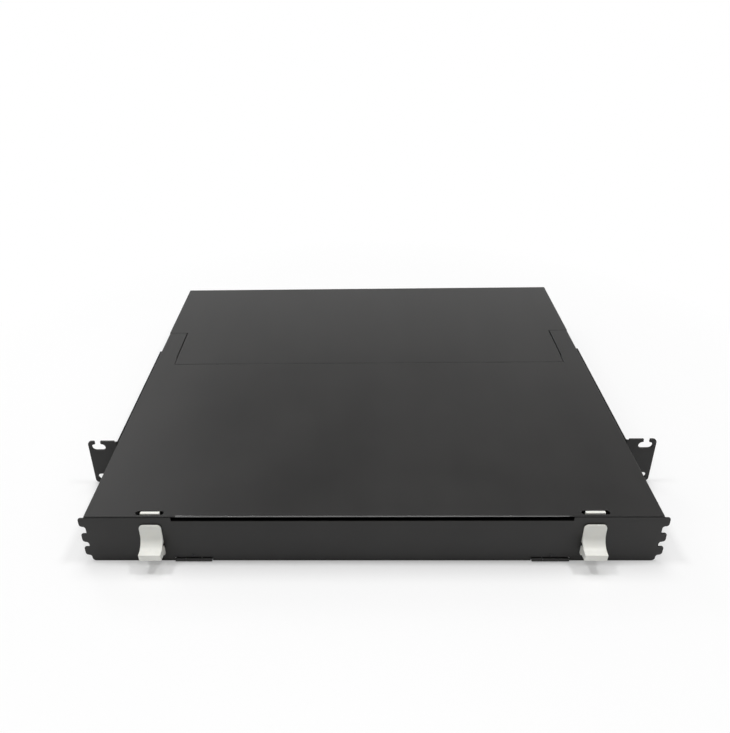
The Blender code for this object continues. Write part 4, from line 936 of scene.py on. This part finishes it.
class PATCH_PANEL_OT_door_fittings(bpy.types.Operator):
    """Make the hinge leaves, pins, rivets, keepers and springs"""

    bl_idname = "patch_panel.door_fittings"
    bl_label = "Door fittings"

    def execute(self, context):
        for word in SIDES:
            copied(f"leaf_{word}", f"hinge_leaf_{word}", "black_powder_coat", CURL_EDGE)
            copied(f"keeper_{word}", f"latch_keeper_{word}", "zinc", KEEPER_EDGE)
            self.pin(word)
            self.rivet(word)
            self.spring(word)
        return {"FINISHED"}

    @staticmethod
    def pin(word):
        low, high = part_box(f"hinge_pin_{word}")
        radius = (high.z - low.z) / 2
        half = (high.x - low.x) / 2
        shape = bmesh.new()
        profile = ((0.0, half), (radius, half), (radius, -half), (0.0, -half))
        add_turned(shape, profile, ((1, PIN_ROUND), (2, PIN_ROUND)), SMALL_TURN_STEPS)
        stand(shape, (low + high) / 2, (1.0, 0.0, 0.0))
        add_piece(f"pin_{word}", shape, "root", "steel", f"hinge_pin_{word}")

    @staticmethod
    def rivet(word):
        low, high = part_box(f"hinge_rivet_{word}")
        head = (high.x - low.x) / 2
        shank = head * RIVET_SHANK
        length = high.y - low.y
        across, down = RIVET_CROWN
        shape = bmesh.new()
        profile = (
            (0.0, 0.0), (head * across, -RIVET_DOME * down), (head, -RIVET_DOME), (shank, -RIVET_DOME),
            (shank, RIVET_DOME - length), (head, RIVET_DOME - length), (head * RIVET_TAIL, -length),
            (0.0, -length))
        add_turned(shape, profile, ((1, RIVET_CROWN_ROUND),))
        centre = (low + high) / 2
        stand(shape, (centre.x, low.y, centre.z), (0.0, -1.0, 0.0))
        piece = add_piece(f"rivet_{word}", shape, "door", "black_screw", f"hinge_rivet_{word}")
        round_edges(piece, RIVET_EDGE, SMALL_EDGE_STEPS)

    @staticmethod
    def spring(word):
        low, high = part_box(f"latch_spring_{word}")
        centre = (low + high) / 2
        rise = (high.z - low.z - 2 * SPRING_WIRE) / (SPRING_TURNS * SPRING_STEPS)
        shape = bmesh.new()
        bmesh.ops.create_circle(shape, segments=WIRE_STEPS, radius=SPRING_WIRE, cap_ends=True)
        upright = Matrix.Rotation(math.pi / 2, 3, "X")
        bmesh.ops.rotate(shape, verts=shape.verts, cent=(0.0, 0.0, 0.0), matrix=upright)
        bmesh.ops.translate(shape, verts=shape.verts, vec=(SPRING_RADIUS, 0.0, SPRING_WIRE))
        bmesh.ops.spin(shape, geom=everything(shape), cent=(0.0, 0.0, 0.0), axis=(0.0, 0.0, 1.0),
                       dvec=(0.0, 0.0, rise), angle=math.tau * SPRING_TURNS,
                       steps=SPRING_TURNS * SPRING_STEPS, use_merge=False, use_duplicate=False)
        foot = (centre.x, centre.y, low.z)
        bmesh.ops.translate(shape, verts=shape.verts, vec=foot)
        piece = add_piece(f"spring_{word}", shape, "door", "steel", f"latch_spring_{word}")
        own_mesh(piece)


class PATCH_PANEL_OT_screws(bpy.types.Operator):
    """Make the screws of the ears and of the lid's rear skirt, with cross recesses"""

    bl_idname = "patch_panel.screws"
    bl_label = "Screws"

    def execute(self, context):
        for word, side in SIDES.items():
            for number in EAR_SCREWS:
                self.screw(f"bracket_screw_{word}_{number}", (side, 0.0, 0.0), FLUSH_HEAD, FLUSH_ROUND)
        for number in SKIRT_SCREWS:
            self.screw(f"rear_cover_screw_{number}", (0.0, 1.0, 0.0), PAN_HEAD, PAN_ROUND)
        return {"FINISHED"}

    @staticmethod
    def screw(node, axis, head, rim):
        """A screw in a node's place, with the top of its head at the axis's far end."""
        low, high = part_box(node)
        axis = Vector(axis)
        length = abs((high - low).dot(axis))
        top = middle(node) + axis * length / 2
        shape = bmesh.new()
        profile = (*head, (SCREW_SHANK, -length), (0.0, -length))
        add_turned(shape, profile, ((1, rim),))
        stand(shape, top, axis)
        piece = add_piece(node.replace("screw", "cross_screw"), shape, BODY_OF[node], "black_screw", node)
        cross = bmesh.new()
        for across, along in ((CROSS_LENGTH, CROSS_WIDTH), (CROSS_WIDTH, CROSS_LENGTH)):
            add_box(cross, (-across / 2, -along / 2, -CROSS_DEPTH), (across / 2, along / 2, CROSS_DEPTH))
        stand(cross, top, axis)
        carve(piece, cross)


def carve(piece, shape):
    """Cut a shape out of a piece, and keep the result as its mesh."""
    mesh = bpy.data.meshes.new("cutter")
    shape.to_mesh(mesh)
    shape.free()
    cutter = bpy.data.objects.new("cutter", mesh)
    bpy.context.scene.collection.objects.link(cutter)
    cut = piece.modifiers.new("cut", "BOOLEAN")
    cut.object = cutter
    cut.operation = "DIFFERENCE"
    cut.solver = "EXACT"
    cut.use_self = True
    bpy.context.view_layer.update()
    graph = bpy.context.evaluated_depsgraph_get()
    carved = bpy.data.meshes.new_from_object(piece.evaluated_get(graph))
    piece.modifiers.remove(cut)
    piece.data = carved
    carved.set_sharp_from_angle(angle=SHARP)
    bpy.data.objects.remove(cutter)


class PATCH_PANEL_OT_rear_fittings(bpy.types.Operator):
    """Make the grommets, the earth stud and its nut"""

    bl_idname = "patch_panel.rear_fittings"
    bl_label = "Rear fittings"

    def execute(self, context):
        for number in GROMMETS:
            self.grommet(number)
        self.stud()
        self.nut()
        return {"FINISHED"}

    @staticmethod
    def grommet(number):
        """A rubber ring with a groove for the wall."""
        node = f"rear_grommet_{number}"
        low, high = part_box(node)
        rim = (high.x - low.x) / 2
        half = (high.y - low.y) / 2
        groove = GROMMET_GROOVE / 2
        shape = bmesh.new()
        profile = ((GROMMET_BORE, half), (rim, half), (rim, groove), (GROMMET_SEAT, groove),
                   (GROMMET_SEAT, -groove), (rim, -groove), (rim, -half), (GROMMET_BORE, -half))
        outer_corners = (0, 1, 6, 7)
        add_turned(shape, profile, [(corner, GROMMET_ROUND) for corner in outer_corners], WIDE_TURN_STEPS)
        stand(shape, (low + high) / 2, (0.0, 1.0, 0.0))
        piece = add_piece(f"grommet_{number}", shape, "root", "rubber", node)
        round_edges(piece, GROMMET_EDGE, SMALL_EDGE_STEPS)

    @staticmethod
    def stud():
        """The threaded stud with its collar inside the wall."""
        low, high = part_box("earth_stud")
        collar = (high.x - low.x) / 2
        length = high.y - low.y
        profile = [(0.0, length), (STUD_RADIUS - STUD_POINT, length)]
        turns = int((length - STUD_COLLAR) / THREAD_PITCH)
        for turn in range(turns):
            height = length - STUD_POINT - turn * THREAD_PITCH
            profile.append((STUD_RADIUS, height))
            profile.append((STUD_RADIUS - THREAD_DEPTH, height - THREAD_PITCH / 2))
        profile += [(STUD_RADIUS, STUD_COLLAR), (collar, STUD_COLLAR), (collar, 0.0), (0.0, 0.0)]
        shape = bmesh.new()
        add_turned(shape, profile)
        centre = (low + high) / 2
        stand(shape, (centre.x, low.y, centre.z), (0.0, 1.0, 0.0))
        piece = add_piece("threaded_stud", shape, "root", "zinc", "earth_stud")
        round_edges(piece, THREAD_EDGE, 1)

    @staticmethod
    def nut():
        """The hexagon nut, bored for the stud."""
        low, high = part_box("earth_nut")
        shape = bmesh.new()
        bmesh.ops.create_circle(shape, segments=NUT_SIDES, radius=(high.x - low.x) / 2)
        bmesh.ops.subdivide_edges(shape, edges=list(shape.edges), cuts=NUT_CUTS)
        bmesh.ops.create_circle(shape, segments=NUT_SIDES * (NUT_CUTS + 1), radius=NUT_BORE)
        bmesh.ops.bridge_loops(shape, edges=list(shape.edges))
        made = bmesh.ops.extrude_face_region(shape, geom=list(shape.faces))["geom"]
        grown = [item for item in made if isinstance(item, bmesh.types.BMVert)]
        bmesh.ops.translate(shape, vec=(0.0, 0.0, high.y - low.y), verts=grown)
        centre = (low + high) / 2
        stand(shape, (centre.x, low.y, centre.z), (0.0, 1.0, 0.0))
        piece = add_piece("stud_nut", shape, "root", "zinc", "earth_nut")
        round_edges(piece, NUT_CHAMFER, SMALL_EDGE_STEPS)


class PATCH_PANEL_OT_trays(bpy.types.Operator):
    """Make the trays, their pull tabs and the side rails"""

    bl_idname = "patch_panel.trays"
    bl_label = "Trays"

    def execute(self, context):
        for tier in TIERS:
            copied(f"sliding_tray_{tier}", f"tray_{tier}", "black_powder_coat", TRAY_EDGE, SMALL_EDGE_STEPS)
            for word in SIDES:
                copied(f"pull_{tier}_{word}", f"tray_pull_{tier}_{word}", "grey_plastic", PULL_EDGE)
        for word in SIDES:
            copied(f"side_rail_{word}", f"guide_rail_{word}", "black_plastic", RAIL_EDGE, SMALL_EDGE_STEPS)
        return {"FINISHED"}


class PATCH_PANEL_OT_cassettes(bpy.types.Operator):
    """Make the fibre cassettes with their shuttered ports and capped trunk port"""

    bl_idname = "patch_panel.cassettes"
    bl_label = "Cassettes"

    def execute(self, context):
        mesh = self.housing()
        for tier in TIERS:
            for bay in BAYS:
                node = f"cassette_{tier}_{bay}"
                low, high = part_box(node)
                shape = bmesh.new()
                stamp(shape, mesh, ((low.x + high.x) / 2, low.y, low.z))
                piece = add_piece(f"fibre_{node}", shape, BODY_OF[node], "black_plastic", node)
                round_edges(piece, CASSETTE_EDGE, SMALL_EDGE_STEPS)
        return {"FINISHED"}

    def housing(self):
        """One cassette with the middle of its port face's foot at the origin."""
        low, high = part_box("cassette_1_1")
        height = high.z - low.z
        front = CASSETTE_BODY_FRONT
        rear = front + CASSETTE_BODY_DEPTH
        half = CASSETTE_BODY_HALF
        shape = bmesh.new()
        add_box(shape, (-half, front, CASSETTE_BASE / 2), (half, rear, height))
        corners = [edge for edge in shape.edges
                   if at_one_x(edge) and all(vert.co.y > rear - WELD for vert in edge.verts)]
        bevel(shape, corners, CASSETTE_CHAMFER, 1, "EDGES")
        shape.normal_update()
        top = [face for face in shape.faces if face.normal.z > FACING]
        bmesh.ops.inset_region(shape, faces=top, thickness=CASSETTE_PANEL_INSET, depth=0.0)
        bmesh.ops.inset_region(shape, faces=top, thickness=CASSETTE_PANEL_DEPTH, depth=-CASSETTE_PANEL_DEPTH)
        base = (high.x - low.x) / 2
        add_box(shape, (-base, front, 0.0), (base, rear - CASSETTE_CHAMFER, CASSETTE_BASE))
        block = self.port_block()
        for number in range(PORTS):
            stamp(shape, block, ((number - (PORTS - 1) / 2) * PORT_PITCH, 0.0, 0.0))
        self.trunk(shape, rear)
        mesh = bpy.data.meshes.new("cassette_housing")
        shape.to_mesh(mesh)
        shape.free()
        return mesh

    @staticmethod
    def port_block():
        """A duplex adapter with two square ports, each closed by a shutter."""
        width, depth = PORT_BLOCK
        low, high = PORT_BLOCK_Z
        shape = bmesh.new()
        add_box(shape, (-width / 2, 0.0, low), (width / 2, depth, high))
        reach = PORT_SIZE / 2
        level = (low + high) / 2
        upright, across = Vector((0.0, 0.0, 1.0)), Vector((1.0, 0.0, 0.0))
        cuts = [(upright, level - reach), (upright, level + reach)]
        for side in SIDES.values():
            cuts += [(across, side * PORT_SPACING / 2 - reach), (across, side * PORT_SPACING / 2 + reach)]
        for normal, place in cuts:
            bmesh.ops.bisect_plane(shape, geom=everything(shape), dist=CUT_SNAP,
                                   plane_co=normal * place, plane_no=normal)
        shape.normal_update()
        ports = []
        for face in shape.faces:
            centre = face.calc_center_median()
            if (face.normal.y < -FACING and abs(centre.z - level) < reach
                    and abs(abs(centre.x) - PORT_SPACING / 2) < reach):
                ports.append(face)
        made = bmesh.ops.extrude_discrete_faces(shape, faces=ports)["faces"]
        for face in made:
            bmesh.ops.translate(shape, vec=(0.0, PORT_DEPTH, 0.0), verts=face.verts)
        bmesh.ops.inset_individual(shape, faces=made, thickness=SHUTTER_FRAME, depth=0.0)
        for face in made:
            bmesh.ops.translate(shape, vec=(0.0, -SHUTTER_RISE, 0.0), verts=face.verts)
        mesh = bpy.data.meshes.new("port_block")
        shape.to_mesh(mesh)
        shape.free()
        return mesh

    @staticmethod
    def trunk(shape, rear):
        """The trunk adapter with its dust cap, ribbed for grip."""
        low, high = PORT_BLOCK_Z
        level = (low + high) / 2
        end = rear + TRUNK_REACH
        add_box(shape, (-TRUNK_HALF, rear - CASSETTE_BODY_FRONT, low), (TRUNK_HALF, end, high))
        across, up = CAP_HALF
        add_box(shape, (-across, end - NO_GAP, level - up), (across, end + CAP_REACH, level + up))
        rib = Vector((across + CAP_RIB / 2, CAP_RIB / 2, up * CAP_RIB_SHARE))
        step = CAP_REACH / (CAP_RIBS + 1)
        for number in range(CAP_RIBS):
            centre = Vector((0.0, end + (number + 1) * step, level))
            add_box(shape, centre - rib, centre + rib)


OPERATORS = (
    PATCH_PANEL_OT_stage,
    PATCH_PANEL_OT_sheet_metal,
    PATCH_PANEL_OT_latches,
    PATCH_PANEL_OT_door_fittings,
    PATCH_PANEL_OT_screws,
    PATCH_PANEL_OT_rear_fittings,
    PATCH_PANEL_OT_trays,
    PATCH_PANEL_OT_cassettes,
)


class PATCH_PANEL_PT_sidebar(bpy.types.Panel):
    """Sizes, colours and makers of the patch panel"""

    bl_idname = "PATCH_PANEL_PT_sidebar"
    bl_label = "Patch panel"
    bl_space_type = "VIEW_3D"
    bl_region_type = "UI"
    bl_category = "Patch panel"

    def draw(self, context):
        for group in (context.scene.patch_panel, context.scene.patch_panel_stage):
            for name in group.__annotations__:
                self.layout.prop(group, name)
        for operator in OPERATORS:
            self.layout.operator(operator.bl_idname)


CLASSES = (PatchPanelLook, PatchPanelStage, *OPERATORS, PATCH_PANEL_PT_sidebar)


def register():
    for cls in CLASSES:
        bpy.utils.register_class(cls)
    bpy.types.Scene.patch_panel = PointerProperty(type=PatchPanelLook)
    bpy.types.Scene.patch_panel_stage = PointerProperty(type=PatchPanelStage)


def unregister():
    del bpy.types.Scene.patch_panel_stage
    del bpy.types.Scene.patch_panel
    for cls in reversed(CLASSES):
        bpy.utils.unregister_class(cls)


def main():
    register()
    bpy.ops.patch_panel.stage()
    bpy.ops.patch_panel.sheet_metal()
    bpy.ops.patch_panel.latches()
    bpy.ops.patch_panel.door_fittings()
    bpy.ops.patch_panel.screws()
    bpy.ops.patch_panel.rear_fittings()
    bpy.ops.patch_panel.trays()
    bpy.ops.patch_panel.cassettes()


if __name__ == "__main__":
    main()
